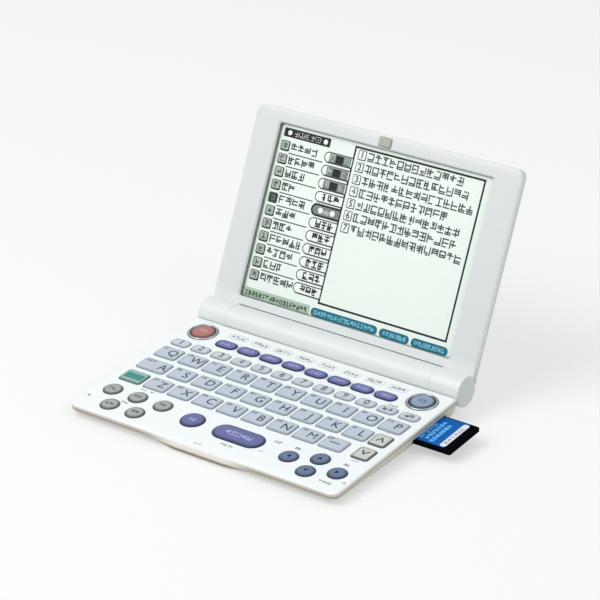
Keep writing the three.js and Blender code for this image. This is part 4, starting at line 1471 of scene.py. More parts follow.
@dataclass
class KeyboardCase:
    """Covers of the keyboard half, with the hinge barrel and the battery bay."""

    key_outlines: list[OutlineAt]
    front_radius: float = 4.0
    rear_radius: float = 1.6
    edge_round: float = 1.1
    deck_thickness: float = 1.4
    tongue_inset: float = 2.0
    tongue_thickness: float = 1.0
    tongue_depth: float = 0.6
    scoop_depth: float = 0.7
    scoop_width: float = 1.6
    hole_edge: float = 0.12
    hole_edge_depth: float = 0.16
    ring_seat: float = 7.55
    ring_seat_depth: float = 1.0
    ring: Rect = (6.15, 7.25, -0.7, 0.6)
    undercut_reach: float = 7.0
    undercut_ease: Pair = (12.0, 36.0)
    heel_degrees: float = 32.0
    heel_start: float = 1.5
    bay_half: float = 49.5
    bay_front_y: float = 48.7
    bay_rear_y: float = 59.5
    bay_top_z: float = -3.0
    bay_edge_z: float = -8.5
    hinge_wall: float = 4.0
    partition: float = 1.5
    pocket_roof: float = 1.5
    slot_margin: float = 1.2
    slot_depth: float = 6.0
    rib_count: int = 3
    rib_height: float = 1.6
    rib_half: float = 0.5
    groove_count: int = 4
    groove_pitch: float = 1.6
    groove_width: float = 0.7
    groove_depth: float = 0.4
    groove_half: float = 7.0
    foot_radius: float = 3.2
    foot_thickness: float = 1.3
    foot_edge: float = 0.3
    feet: tuple[tuple[str, float, float], ...] = (
        ("foot_front_left", -60.0, -36.0), ("foot_front_right", 60.0, -36.0),
        ("foot_rear_left", -53.6, 52.15), ("foot_rear_right", 53.6, 52.15),
    )
    screw_rows: tuple[tuple[float, float], ...] = ((38.0, -39.0), (62.0, 30.0))
    screw_radius: float = 1.8
    screw_sink: float = 0.15
    screw_cross: Pair = (1.0, 0.2)
    screw_cross_depth: float = 0.3
    well_margin: float = 0.35
    well_depth: float = 0.8
    overrun: float = 1.0

    def outline(self, inset: float, undercut: float = 0.0) -> Ring:
        """Outline of the case. The undercut draws it in, except at the thumb lip in front.

        Args:
            inset: even inset all round.
            undercut: further inset under the overhang.

        Returns:
            The outline at height 0.
        """
        steps, corner = 72, 12
        side = SIZES.half_width - inset - undercut
        front, rear = SIZES.front_y + inset, SIZES.rear_y - inset - undercut
        front_radius = self.front_radius - inset + undercut * 0.5
        rear_radius = max(self.rear_radius - inset, self.edge_round) + undercut * 0.5
        points: Ring = []
        for step in range(steps + 1):
            x = (side - front_radius) * (2 * step / steps - 1)
            reach = undercut * smooth_share(abs(x), *self.undercut_ease)
            points.append(Vector((x, front + reach, 0)))
        low = front + undercut + front_radius
        points += arc((side - front_radius, low), front_radius, -QUARTER, QUARTER, corner)[1:]
        points.append(Vector((side, rear - rear_radius, 0)))
        points += arc((side - rear_radius, rear - rear_radius), rear_radius, 0.0, QUARTER, corner)[1:]
        points.append(Vector((-side + rear_radius, rear, 0)))
        points += arc((-side + rear_radius, rear - rear_radius), rear_radius, QUARTER, QUARTER, corner)[1:]
        points.append(Vector((-side, low, 0)))
        return points + arc((-side + front_radius, low), front_radius, 2 * QUARTER, QUARTER, corner)[1:-1]

    def cover(self, name: str, mesh: Mesh, finish: Finish, body: Body = Body.KEYBOARD) -> None:
        """Dresses one cover of the case."""
        make_piece(f"{name}_shell", mesh, SIZES.deck_place, body.value, [finish], [name])

    def top_cover(self) -> None:
        """Makes the plate with its skirt, tongue, thumb scoop, key holes and ring seats."""
        over, gap, under = self.overrun, SIZES.gap, -self.deck_thickness
        levels = [(-SIZES.skirt_depth, 0.0)]
        levels += [(self.edge_round * (s - 1), self.edge_round * (1 - c)) for c, s in quarter(5)]
        shell = Shape().stack(self.outline, levels)
        tongue_z = -SIZES.skirt_depth - self.tongue_depth
        tongue = Shape().plate(self.outline(self.tongue_inset), tongue_z, under / 2)
        inner = self.outline(self.tongue_inset + self.tongue_thickness)
        rear = SIZES.rear_y - self.tongue_inset - self.tongue_thickness - self.rear_radius
        rear_cut = (-SIZES.barrel_half, SIZES.barrel_half, rear, SIZES.rear_y + over)
        cuts = [Shape().plate(inner, tongue_z - over, under), Shape().bar(rear_cut, tongue_z - over, under),
                self.scoop()]
        edge = gap + self.hole_edge
        levels = ((under - over, gap), (-self.hole_edge_depth, gap), (0.0, edge), (over, edge))
        for outline_at in self.key_outlines:
            cuts.append(Shape().stack(outline_at, levels))
        for x in (SIZES.power_x, SIZES.round_x):
            cuts.append(Shape().disc((x, SIZES.ringed_y), self.ring_seat, -self.ring_seat_depth, over, 64))
        mesh = boolean(shell.mesh("top_cover"), meshes([tongue]), "UNION")
        self.cover("top_cover", boolean(mesh, meshes(cuts), "DIFFERENCE"), Finishes.deck)

    def scoop(self) -> Shape:
        """Wedge that takes the front edge off over the thumb lip and runs out softly at both ends.

        Returns:
            The wedge.
        """
        depth, width, over, front = self.scoop_depth, self.scoop_width, self.overrun, SIZES.front_y
        profile = ((front - over, -depth - depth * over / width),
                   (front + width + over, depth * over / width), (front - over, depth + over))
        rings = []
        for step in range(25):
            x = SIZES.lip_half * (step / 12 - 1)
            rise = (depth + 0.1) * smooth_share(abs(x), SIZES.lip_half * 0.5, SIZES.lip_half)
            rings.append([Vector((x, y, z + rise)) for y, z in profile])
        return Shape().loft(rings)

    def hull_ring(self, degrees: float, wall: float) -> Ring:
        """Ring of the hull at one angle of its undercut curve.

        Args:
            degrees: angle of the curve, 0 at the parting line and 90 at the floor.
            wall: wall to leave outside the ring.

        Returns:
            The ring.
        """
        angle = math.radians(degrees)
        ring = self.outline(wall, self.undercut_reach * (1 - math.cos(angle)))
        points = []
        for p in ring:
            drop = (-SIZES.floor_z(p.y) - wall + SIZES.parting_z) * math.sin(angle)
            points.append(Vector((p.x, p.y, SIZES.parting_z - drop)))
        return points

    def heel_profile(self) -> list[Pair]:
        """Profile of the rear of the case under the barrel, floor first.

        Returns:
            Pairs of Y and Z.
        """
        y, z, radius = SIZES.hinge_y, SIZES.hinge_z, SIZES.barrel_radius
        inner, start = SIZES.rear_y - 2 * SIZES.case_wall, y + self.heel_start
        edge = arc_points(y, z, radius, -self.heel_degrees, 0, 1)[0]
        bend = ((start, SIZES.floor_z(start)), (edge[0], SIZES.floor_z(edge[0])), edge)
        curve = []
        for step in range(17):
            t = step / 16
            weights = ((1 - t) ** 2, 2 * t * (1 - t), t * t)
            curve.append(tuple(sum(w * p[axis] for w, p in zip(weights, bend)) for axis in (0, 1)))
        tip = math.degrees(math.asin(SIZES.gap / radius))
        round_part = arc_points(y, z, radius, -self.heel_degrees, -tip, 12)[1:]
        return [
            (inner, SIZES.floor_z(inner)), *curve, *round_part,
            (y - radius, z - SIZES.gap), (y - radius, SIZES.parting_z), (inner, SIZES.parting_z),
        ]

    def barrel_walls(self, upper: bool) -> list[Shape]:
        """Half discs that close the barrel at the bay and at the hinge pins.

        Args:
            upper: whether they stand in the barrel cover.

        Returns:
            Four walls.
        """
        tip = math.degrees(math.asin(SIZES.gap / SIZES.tray_radius))
        low, high = (0, 180) if upper else (-180 + tip, -tip)
        radius = (SIZES.tray_radius + SIZES.barrel_radius) / 2
        half = arc_points(SIZES.hinge_y, SIZES.hinge_z, radius, low, high, 32)
        shapes = []
        for start, thick in ((self.bay_half + SIZES.gap, self.partition),
                             (SIZES.barrel_half - self.hinge_wall, self.hinge_wall)):
            shapes += [along_x(half, start, start + thick), along_x(half, -start - thick, -start)]
        return shapes

    def pin_bores(self) -> list[Shape]:
        """Bores of the hinge pins through the ends of the barrel."""
        low, high = SIZES.barrel_half - self.hinge_wall - self.overrun, SIZES.barrel_half + self.overrun
        return bore_pair(low, high, SIZES.hinge_y, SIZES.hinge_z)

    def bay_profile(self) -> list[Pair]:
        """Profile of the space through which the cells go in.

        Returns:
            Pairs of Y and Z.
        """
        below = SIZES.floor_z(self.bay_rear_y) - self.overrun
        beyond = SIZES.hinge_y + SIZES.barrel_radius + self.overrun
        return [(self.bay_front_y, below), (beyond, below), (beyond, self.bay_edge_z),
                (self.bay_rear_y, self.bay_edge_z), (self.bay_rear_y, self.bay_top_z),
                (self.bay_front_y, self.bay_top_z)]

    def floor_seats(self, places: Sequence[Pair], radius: float, depth: float) -> list[Mesh]:
        """Round seats sunk in the level floor.

        Args:
            places: X and Y of each on the floor.
            radius: radius of a seat.
            depth: depth of a seat.

        Returns:
            The tools that cut them, in the deck's millimetres.
        """
        tools = meshes(Shape().disc(place, radius, -self.overrun, depth, 48) for place in places)
        lift = Matrix.Translation((0, 0, -SIZES.deck_height))
        for tool in tools:
            tool.transform(Matrix.Rotation(-SIZES.wedge, 4, "X") @ lift)
        return tools

    def bottom_cover(self) -> None:
        """Makes the hull with the battery bay, the lower barrel and the seats of feet and screws."""
        wall, over, gap, parting = SIZES.case_wall, self.overrun, SIZES.gap, SIZES.parting_z
        angles = [90 * step / 14 for step in range(14, -1, -1)]
        hull = Shape().loft([self.hull_ring(a, 0.0) for a in angles])
        inner = [self.hull_ring(a, wall) for a in angles]
        inner.append(at_height(inner[-1], inner[-1][0].z + over))
        heel = along_x(self.heel_profile(), -SIZES.barrel_half, SIZES.barrel_half)
        reach = SIZES.barrel_half - self.hinge_wall
        tray = turned_along_x([(-reach, SIZES.tray_radius), (reach, SIZES.tray_radius)],
                              SIZES.hinge_y, SIZES.hinge_z)
        rear, front = self.bay_front_y - wall, SIZES.rear_y - self.undercut_reach - 2 * wall
        top = parting - self.pocket_roof
        pocket = along_x([
            (front, SIZES.floor_z(front) + wall), (rear, SIZES.floor_z(rear) + wall), (rear, top),
            (SIZES.rear_y - wall, top), (SIZES.rear_y - wall, parting + over), (front, parting + over),
        ], -SIZES.barrel_half + wall, SIZES.barrel_half - wall)
        bay = along_x(self.bay_profile(), -self.bay_half, self.bay_half)
        reach = SIZES.card_half + self.slot_margin
        side, y = SIZES.half_width, SIZES.card_y
        slot = Shape().bar((side - self.slot_depth, side + over, y - reach, y + reach),
                           SIZES.card_top - SIZES.card_thickness - gap, SIZES.card_top + gap)
        feet = [(x, y) for _, x, y in self.feet]
        screws = [(side * x, y) for x, y in self.screw_rows for side in (-1, 1)]
        seats = self.floor_seats(feet, self.foot_radius + gap, self.foot_thickness + gap)
        seats += self.floor_seats(screws, self.screw_radius + self.well_margin,
                                  SIZES.floor_proud + self.well_depth)
        mesh = boolean(hull.mesh("bottom_cover"), meshes([Shape().loft(inner)]), "DIFFERENCE")
        mesh = boolean(mesh, meshes([heel]), "UNION")
        mesh = boolean(mesh, meshes([pocket, tray]), "DIFFERENCE")
        mesh = boolean(mesh, meshes(self.barrel_walls(False)), "UNION")
        cuts = meshes([bay, slot, *self.pin_bores()]) + seats
        self.cover("bottom_cover", boolean(mesh, cuts, "DIFFERENCE"), Finishes.hull)

    def barrel_cover(self) -> None:
        """Makes the upper half of the hinge barrel."""
        y, z = SIZES.hinge_y, SIZES.hinge_z
        outer = arc_points(y, z, SIZES.barrel_radius, 0, 180, 48)
        inner = arc_points(y, z, SIZES.tray_radius, 180, 0, 48)
        shell = along_x([*outer, *inner], -SIZES.barrel_half, SIZES.barrel_half)
        mesh = boolean(shell.mesh("barrel_cover"), meshes(self.barrel_walls(True)), "UNION")
        mesh = boolean(mesh, meshes(self.pin_bores()), "DIFFERENCE")
        self.cover("barrel_cover", mesh, Finishes.barrel)

    def battery_cover(self) -> None:
        """Makes the floor of the bay with an upturned rear edge, ribs inside and a thumb grip outside."""
        gap, wall, over, floor_z = SIZES.gap, SIZES.case_wall, self.overrun, SIZES.floor_z
        front, rear = self.bay_front_y + gap, self.bay_rear_y - gap
        top, half = self.bay_edge_z - gap, self.bay_half - gap
        beyond = SIZES.hinge_y + SIZES.barrel_radius + over
        low, start = floor_z(beyond) - over, front - over
        bounds = Shape().bar((-half, half, front, beyond), low, top)
        hollow = along_x([
            (start, floor_z(start) + wall), (rear - wall / 2, floor_z(rear) + wall),
            (rear, floor_z(rear) + 2 * wall), (rear, top + over), (start, top + over),
        ], -half - over, half + over)
        rib_top = floor_z(front) + wall + self.rib_height
        rib = [(front + wall, floor_z(front) + wall / 2), (rear - wall, floor_z(rear) + wall / 2),
               (rear - wall, rib_top), (front + wall, rib_top)]
        ribs = []
        for at in range(self.rib_count):
            x = half * (2 * (at + 1) / (self.rib_count + 1) - 1)
            ribs.append(along_x(rib, x - self.rib_half, x + self.rib_half))
        grooves = []
        for at in range(self.groove_count):
            y = (front + rear) / 2 + self.groove_pitch * (at - self.groove_count / 2)
            groove = (-self.groove_half, self.groove_half, y, y + self.groove_width)
            grooves.append(Shape().bar(groove, floor_z(y) - over, floor_z(y) + self.groove_depth))
        mesh = along_x(self.heel_profile(), -half, half).mesh("battery_cover")
        mesh = boolean(mesh, meshes([bounds]), "INTERSECT")
        mesh = boolean(mesh, meshes([hollow]), "DIFFERENCE")
        mesh = boolean(mesh, meshes(ribs), "UNION")
        mesh = boolean(mesh, meshes(grooves), "DIFFERENCE")
        self.cover("battery_cover", mesh, Finishes.hull, Body.COVER)

    def foot(self, place: Pair) -> Mesh:
        """Round foot with a softened lower edge.

        Args:
            place: X and Y on the floor.

        Returns:
            The mesh in millimetres of the floor.
        """
        soft = self.foot_edge
        levels = [(soft * (1 - s), -soft * (1 - c)) for c, s in reversed(quarter(4))]
        levels.append((self.foot_thickness, 0.0))
        return Shape().stack(circle_at(place, self.foot_radius), levels).mesh("foot")

    def screw(self) -> Mesh:
        """Cross-slotted screw head, facing down.

        Returns:
            The mesh round the origin, in millimetres of the floor.
        """
        low, at = SIZES.floor_proud + self.screw_sink, circle_at((0.0, 0.0), self.screw_radius, 32)
        levels = ((low, -0.5), (low + 0.12, -0.15), (low + 0.35, 0.0), (low + 0.7, 0.0))
        head = Shape().stack(at, levels).mesh("screw")
        reach, half = self.screw_cross
        slots = [Shape().bar((-x, x, -y, y), low - self.overrun, low + self.screw_cross_depth)
                 for x, y in ((reach, half), (half, reach))]
        return boolean(head, meshes(slots), "DIFFERENCE")

    def build(self) -> None:
        """Makes the covers, the feet, the screws and the ring trims."""
        f, floor, home = Finishes, SIZES.floor_place, Body.KEYBOARD.value
        self.top_cover()
        self.bottom_cover()
        self.barrel_cover()
        self.battery_cover()
        for name, *at in self.feet:
            make_piece(f"{name}_pad", self.foot(at), floor, home, [f.foot], [name])
        pairs = [repeated_along(self.screw(), 2, Vector((-x, y, 0)), Vector((2 * x, 0, 0)), f.steel)
                 for x, y in self.screw_rows]
        make_piece("case_screws", joined(pairs, "case_screws"), floor, home, [f.steel])
        for name, x in (("power_ring", SIZES.power_x), ("round_ring", SIZES.round_x)):
            ring = ring_mesh(*self.ring, f.chrome)
            ring.transform(Matrix.Translation((x, SIZES.ringed_y, 0)))
            make_piece(f"{name}_trim", ring, SIZES.deck_place, home, [f.chrome], [name])


@dataclass
class DeckPrint:
    """Printing on the deck: ovals over the function keys, the band between them and small labels."""

    low: float = -0.03
    high: float = 0.025
    oval_y: float = 40.4
    oval_shift: float = 0.9
    oval_size: Pair = (10.6, 4.2)
    oval_line: float = 0.22
    band_half: float = 2.6
    band_gap: float = 0.35
    dot: Pair = (-70.3, -36.2)
    dot_radius: float = 0.7
    labels: tuple[Rect, ...] = (
        (27.5, -24.5, 4.5, 1.9), (38.2, -24.4, 3.0, 1.9), (64.0, -24.4, 3.0, 1.9), (64.0, -40.2, 7.0, 1.5),
        (71.3, -37.0, 2.0, 2.0), (-51.6, -19.9, 3.0, 1.4), (-47.0, -19.7, 2.4, 1.4), (-52.0, -33.0, 4.0, 1.5),
        (9.8, -38.4, 7.0, 1.5), (53.0, 26.9, 5.0, 1.3),
    )
    faint_labels: tuple[Rect, ...] = (
        (25.5, -34.5, 2.5, 1.5), (-2.0, -43.9, 4.5, 1.3), (65.4, 7.0, 4.5, 1.4), (65.2, -19.6, 4.5, 1.4),
    )

    def build(self) -> None:
        """Makes the printing as thin flat pieces on the deck."""
        f, rng, low, high = Finishes, random.Random(7), self.low, self.high
        rims, fills, band, prints, faint = (Shape() for _ in range(5))
        (width, height), line = self.oval_size, self.oval_line
        reach = SIZES.function_size[0] / 2 + self.band_gap
        for at in range(8):
            x, y = SIZES.function_x(at), SIZES.function_y
            oval = (x + self.oval_shift, self.oval_y)
            rims.tile(oval, self.oval_size, height / 2, low, high)
            fills.tile(oval, (width - 2 * line, height - 2 * line), height / 2 - line, low, high + 0.01)
            prints.strokes(rng, oval, (7.4, 2.1), 4, low, high + 0.02, 0.17)
            if at < 7:
                ends = (x + reach, x + SIZES.function_pitch - reach)
                band.bar((*ends, y - self.band_half, y + self.band_half), low, high)
        for shape, places in ((prints, self.labels), (faint, self.faint_labels)):
            for x, y, wide, tall in places:
                shape.strokes(rng, (x, y), (wide, tall), max(1, round(wide / 1.8)), low, high, 0.16)
        prints.disc(self.dot, self.dot_radius, low, high)
        pieces = (("deck_oval_rims", rims, f.faint_ink), ("deck_oval_fills", fills, f.shell),
                  ("deck_band", band, f.band_ink), ("deck_print", prints, f.grey_ink),
                  ("deck_faint_print", faint, f.faint_ink))
        for name, shape, finish in pieces:
            make_piece(name, shape.mesh(name), SIZES.deck_place, Body.KEYBOARD.value, [finish])


# Display half


@dataclass
class DisplayHalf:
    """Bezel with its knuckles, back cover and bumper."""

    half: float = SIZES.lid_half
    length: float = 102.0
    corner: float = 4.0
    face_z: float = -2.0
    split_z: float = -5.0
    back_z: float = -7.5
    bevel_width: float = 4.5
    bevel_depth: float = 0.6
    wall: float = 1.5
    plate: float = 1.6
    pocket_bottom: float = 9.5
    back_skin: float = 1.5
    back_round: float = 2.4
    window_y: float = 53.45
    window_size: Pair = (118.7, 83.9)
    window_draft: float = 0.5
    window_edge: Pair = (0.2, 0.15)
    window_lip: float = 1.0
    window_overlap: float = 1.4
    knuckle_gap: float = 0.1
    knuckle_edge: float = 0.6
    room: float = 7.9
    bumper_inset: float = 3.6
    bumper_size: Pair = (6.5, 4.2)
    bumper_edge: float = 0.5
    bumper_seat: Pair = (3.55, 2.4)
    beyond: float = 148.0
    overrun: float = 1.0

    def outline(self, inset: float, bottom: float = 0.0) -> Ring:
        """Outline of the display half, square below and rounded at the top.

        Args:
            inset: even inset at the sides and the top.
            bottom: Y of the lower edge.

        Returns:
            The outline at height 0.
        """
        side, top = self.half - inset, self.length - inset
        radius = max(self.corner - inset, 0.5)
        points = [Vector((-side, bottom, 0)), Vector((side, bottom, 0))]
        points += arc((side - radius, top - radius), radius, 0.0, QUARTER, 14)
        return points + arc((-side + radius, top - radius), radius, QUARTER, QUARTER, 14)

    def part(self, name: str, mesh: Mesh, slot: Slot, finish: Finish, replaced: str) -> None:
        """Dresses one part of the display half."""
        make_piece(f"lid_{name}", mesh, SIZES.lid_place, Body.DISPLAY.value, [finish], [replaced])

    def barrel_room(self, half: float) -> Shape:
        """Room for the barrel."""
        return turned_along_x([(-half, self.room), (half, self.room)], 0.0, 0.0)

    def pocket(self, low: float, high: float) -> Shape:
        """Space inside the walls between two heights."""
        return Shape().plate(self.outline(self.wall, self.pocket_bottom), low, high)

    def window(self, grow: float) -> Ring:
        """Outline of the window opening, grown with equal corners."""
        size = (extent + 2 * grow for extent in self.window_size)
        return rounded_outline((0.0, self.window_y), *size, 1.0)

    def knuckle(self, side: int) -> Shape:
        """Hinge knuckle with a rounded outer edge.

        Args:
            side: 1 for the right one and -1 for the left one.

        Returns:
            The knuckle.
        """
        start, radius, edge = SIZES.barrel_half + self.knuckle_gap, SIZES.barrel_radius, self.knuckle_edge
        stations = [(start, radius)]
        stations += [(self.half - edge * (1 - s), radius - edge * (1 - c)) for c, s in quarter(5)]
        if side < 0:
            stations = [(-x, r) for x, r in reversed(stations)]
        return turned_along_x(stations, 0.0, 0.0, 96)

    def bezel(self) -> None:
        """Makes the bevelled frame round the window, with the two knuckles."""
        over, face, split = self.overrun, self.face_z, self.split_z
        levels = [(split, 0.0)]
        levels += [(face - self.bevel_depth * (1 - s), self.bevel_width * (1 - c)) for c, s in quarter(7)]
        slab = Shape().stack(self.outline, levels)
        draft, lip, (widening, edge) = self.window_draft, face - self.window_lip, self.window_edge
        levels = ((split - over, 0.0), (lip, 0.0), (face - edge, draft), (face, draft + widening),
                  (face + over, draft + widening))
        window_cut = Shape().stack(self.window, levels)
        rebate = self.window_overlap + SIZES.gap
        seat = Shape().plate(self.window(rebate), split - over, lip)
        pad_y, (pad_half, pad_reach) = self.length - self.bumper_inset, self.bumper_seat
        pad = Shape().bar((-pad_half, pad_half, pad_y - pad_reach, pad_y + pad_reach),
                          face - 0.6, face + over)
        below = Shape().bar((-self.beyond, self.beyond, -over, 0.0), self.back_z, over)
        cuts = [self.pocket(split - over, face - self.plate), window_cut, seat, pad, below]
        mesh = boolean(slab.mesh("bezel"), meshes(cuts), "DIFFERENCE")
        mesh = boolean(mesh, meshes([self.knuckle(1), self.knuckle(-1)]), "UNION")
        bores = bore_pair(SIZES.barrel_half, SIZES.barrel_half + SIZES.pin_reach + SIZES.gap, 0.0, 0.0)
        room = self.barrel_room(SIZES.barrel_half + self.knuckle_gap)
        mesh = boolean(mesh, meshes([room, *bores]), "DIFFERENCE")
        self.part("bezel_shell", mesh, Slot.SHELL, Finishes.bezel, "lid_front_bezel")

    def back_cover(self) -> None:
        """Makes the shallow tray with rounded edges, hollowed along the barrel."""
        rise = self.back_round * 2 / 3
        levels = [(self.back_z + rise * (1 - c), self.back_round * (1 - s)) for c, s in quarter(8)]
        levels.append((self.split_z - SIZES.gap, 0.0))
        pocket = self.pocket(self.back_z + self.back_skin, self.split_z + self.overrun)
        cuts = meshes([pocket, self.barrel_room(self.beyond)])
        mesh = boolean(Shape().stack(self.outline, levels).mesh("back"), cuts, "DIFFERENCE")
        self.part("back_shell", mesh, Slot.SHELL, Finishes.lid, "lid_back_cover")

    def bumper(self) -> None:
        """Makes the soft pad at the top of the bezel."""
        at, soft = box_at((0.0, self.length - self.bumper_inset), *self.bumper_size, 1.0), self.bumper_edge
        top = self.face_z + 0.9
        levels = [(self.face_z - 0.3, 0.0)]
        levels += [(top - soft * (1 - s), -soft * (1 - c)) for c, s in quarter(5)]
        mesh = Shape().stack(at, levels).mesh("bumper")
        self.part("bumper_pad", mesh, Slot.LIGHT_RUBBER, Finishes.pad, "lid_bumper")

    def build(self) -> None:
        """Makes the three pieces of the display half."""
        self.bezel()
        self.back_cover()
        self.bumper()


@dataclass
class DisplayImage:
    """Image on the display: a menu column, a framed list and the printed strip under them.

    Each layer is one shape. What lies over something else reaches one or two steps higher.
    """

    low: float = -4.63
    high: float = -4.57
    step: float = 0.02
    # The surround ring is partly the display's pale border and partly painted shade of the window's recess
    # wall
    surround: Rect = (-60.8, 60.8, 10.3, 96.6)
    surround_inner: Rect = (-58.86, 58.86, 11.99, 94.91)
    frame: Rect = (-16.9, 55.0, 18.0, 93.6)
    line: float = 0.95
    title_y: float = 91.6
    row_first: float = 85.2
    row_pitch: float = 6.27
    row_glyphs: tuple[int, ...] = (4, 4, 3, 2, 4, 3, 3, 5, 4, 3, 5)
    chosen_row: int = 4
    list_first: float = 89.9
    list_pitch: float = 5.73
    list_glyphs: tuple[int, ...] = (13, 14, 15, 12, 14, 14, 15)
    strip_y: float = 13.8
    strip_half: float = 2.4
    tabs: tuple[Pair, ...] = ((-19.6, 18.0), (19.2, 35.6), (36.8, 56.8))
    rng: random.Random = field(default_factory=lambda: random.Random(2026))

    def __post_init__(self) -> None:
        """Starts the layers empty."""
        self.dark, self.soft, self.tone, self.shade, self.paper, self.top = (Shape() for _ in range(6))
        self.digits: list[Mesh] = []

    def border(self, shape: Shape, outer: Rect, inner: Rect) -> None:
        """Draws four bars between two rectangles.

        Args:
            shape: layer to draw in.
            outer: left, right, bottom and top outside.
            inner: the same inside.
        """
        (x0, x3, y0, y3), (x1, x2, y1, y2) = outer, inner
        for rect in ((x0, x3, y0, y1), (x0, x3, y2, y3), (x0, x1, y1, y2), (x2, x3, y1, y2)):
            shape.bar(rect, self.low, self.high)

    def tab(self, y: float, grow: float) -> Ring:
        """Outline of a row's tab, rounded to the left.

        Args:
            y: middle of the row.
            grow: growth of the tab.

        Returns:
            The outline at height 0.
        """
        left, right, half = -32.2 - grow, self.frame[0] + 0.2, 2.45 + grow
        ring = [Vector((right, y - half, 0)), Vector((right, y + half, 0))]
        return ring + arc((left + half, y), half, QUARTER, 2 * QUARTER, 14)

    def menu_row(self, row: int, count: int) -> None:
        """Draws one row of the menu: its button, its words and its tab.

        Args:
            row: number of the row, counted from 0 at the top.
            count: number of glyphs in its words.
        """
        rng, low, high, chosen = self.rng, self.low, self.high, row == self.chosen_row
        y, under = self.row_first - self.row_pitch * row, high - 0.01
        upper, above = high + self.step, high + 2 * self.step
        self.soft.tile((-55.0, y), (5.2, 5.0), 0.9, low, under)
        if not chosen:
            self.dark.tile((-54.7, y - 0.2), (4.6, 4.6), 0.8, low, high)
            self.shade.tile((-55.1, y + 0.2), (4.1, 3.9), 0.6, low, upper)
        (self.tone if chosen else self.soft).strokes(rng, (-55.1, y + 0.2), (2.4, 2.6), 1, low, above, 0.16)
        wide = 3.85 * count
        self.soft.strokes(rng, (-51.8 + wide / 2, y + 0.1), (wide, 3.7), count, low, high, 0.17)
        if row < len(self.row_glyphs) - 1:
            self.soft.bar((-52.2, -32.8, y - 3.35, y - 2.85), low, high)
        (self.dark if chosen else self.soft).plate(self.tab(y, 0.6 if chosen else 0.15), low, under)
        self.dark.bar((-30.4, self.frame[0], y - 2.75, y - 2.25), low, high)
        (self.tone if chosen else self.paper).plate(self.tab(y, -0.35), low, upper)
        if chosen:
            for x in (-27.4, -20.6):
                self.paper.disc((x, y), 1.4, low, above)
            self.shade.bar((-25.6, -22.4, y - 1.4, y + 0.6), low, above)
        elif row < 3:
            self.tone.bar((-29.4, -17.2, y - 2.1, y + 2.0), low, above)
            self.top.bar((-25.8, -21.4, y - 2.0, y + 1.7), low, above + self.step)
            for x, weight in ((-27.5, 0.2), (-19.4, 0.14)):
                self.shade.strokes(rng, (x, y), (3.2, 3.2), 1, low, above + self.step, weight)
        else:
            self.top.strokes(rng, (-23.6, y), (10.4, 3.5), 3, low, above, 0.19)

    def list_row(self, row: int, count: int) -> None:
        """Draws one numbered line of the list.

        Args:
            row: number of the line, counted from 0 at the top.
            count: number of its glyphs.
        """
        y, wide = self.list_first - self.list_pitch * row, 4.1 * count
        low, high = self.low, self.high
        self.soft.tile((-12.1, y), (4.5, 4.7), 0.6, low, high - 0.01)
        self.dark.tile((-12.0, y - 0.1), (4.3, 4.5), 0.5, low, high)
        self.paper.tile((-12.15, y + 0.05), (3.7, 3.9), 0.4, low, high + self.step)
        self.digits.append(lettering(str(row + 1), (-12.1, y), 4.4, low, high + 2 * self.step))
        self.soft.strokes(self.rng, (-9.3 + wide / 2, y), (wide, 4.1), count, low, high, 0.15)

    def build(self) -> None:
        """Makes the image as thin flat pieces on the display."""
        f, rng, low, high, upper = Finishes, self.rng, self.low, self.high, self.high + self.step
        surround, strip, strip_print, tabs, tab_print = (Shape() for _ in range(5))
        # Surround ring: partly pale border, partly painted shade of the window's recess wall
        self.border(surround, self.surround, self.surround_inner)
        left, right, bottom, top = self.frame
        line = self.line
        self.border(self.dark, self.frame, (left + line, right - line, bottom + line, top - line))
        self.dark.tile((-44.0, self.title_y), (26.6, 4.2), 0.5, low, high)
        for x in (-54.0, -33.4):
            self.paper.disc((x, self.title_y), 1.2, low, upper)
        self.paper.strokes(rng, (-43.8, self.title_y), (15.6, 2.4), 5, low, upper, 0.07)
        for row, count in enumerate(self.row_glyphs):
            self.menu_row(row, count)
        for row, count in enumerate(self.list_glyphs):
            self.list_row(row, count)
        y, half = self.strip_y, self.strip_half
        strip.bar((-59.2, -20.4, y - half, y + half), low, high)
        strip_print.strokes(rng, (-40.0, y - 0.1), (36.0, 2.4), 18, low, upper, 0.22)
        for left, right in self.tabs:
            middle, wide = ((left + right) / 2, y), right - left
            tabs.tile(middle, (wide, 4.2), 2.05, low, high)
            tab_print.strokes(rng, middle, (wide - 3.4, 2.1), round((wide - 3) / 1.9), low, upper, 0.17)
        layers = (
            ("display_surround", surround, f.surround), ("display_lines", self.dark, f.line),
            ("display_soft_lines", self.soft, f.soft_line), ("display_half_tones", self.tone, f.half_tone),
            ("display_shades", self.shade, f.shade), ("display_paper", self.paper, f.paper),
            ("display_marks", self.top, f.line), ("display_strip", strip, f.strip_green),
            ("display_strip_print", strip_print, f.strip_print), ("display_strip_tabs", tabs, f.strip_teal),
            ("display_strip_marks", tab_print, f.strip_pale),
        )
        for name, shape, finish in layers:
            parts = [shape.mesh(name)] + (self.digits if shape is self.top else [])
            make_piece(name, joined(parts, name), SIZES.lid_place, Body.DISPLAY.value, [finish])


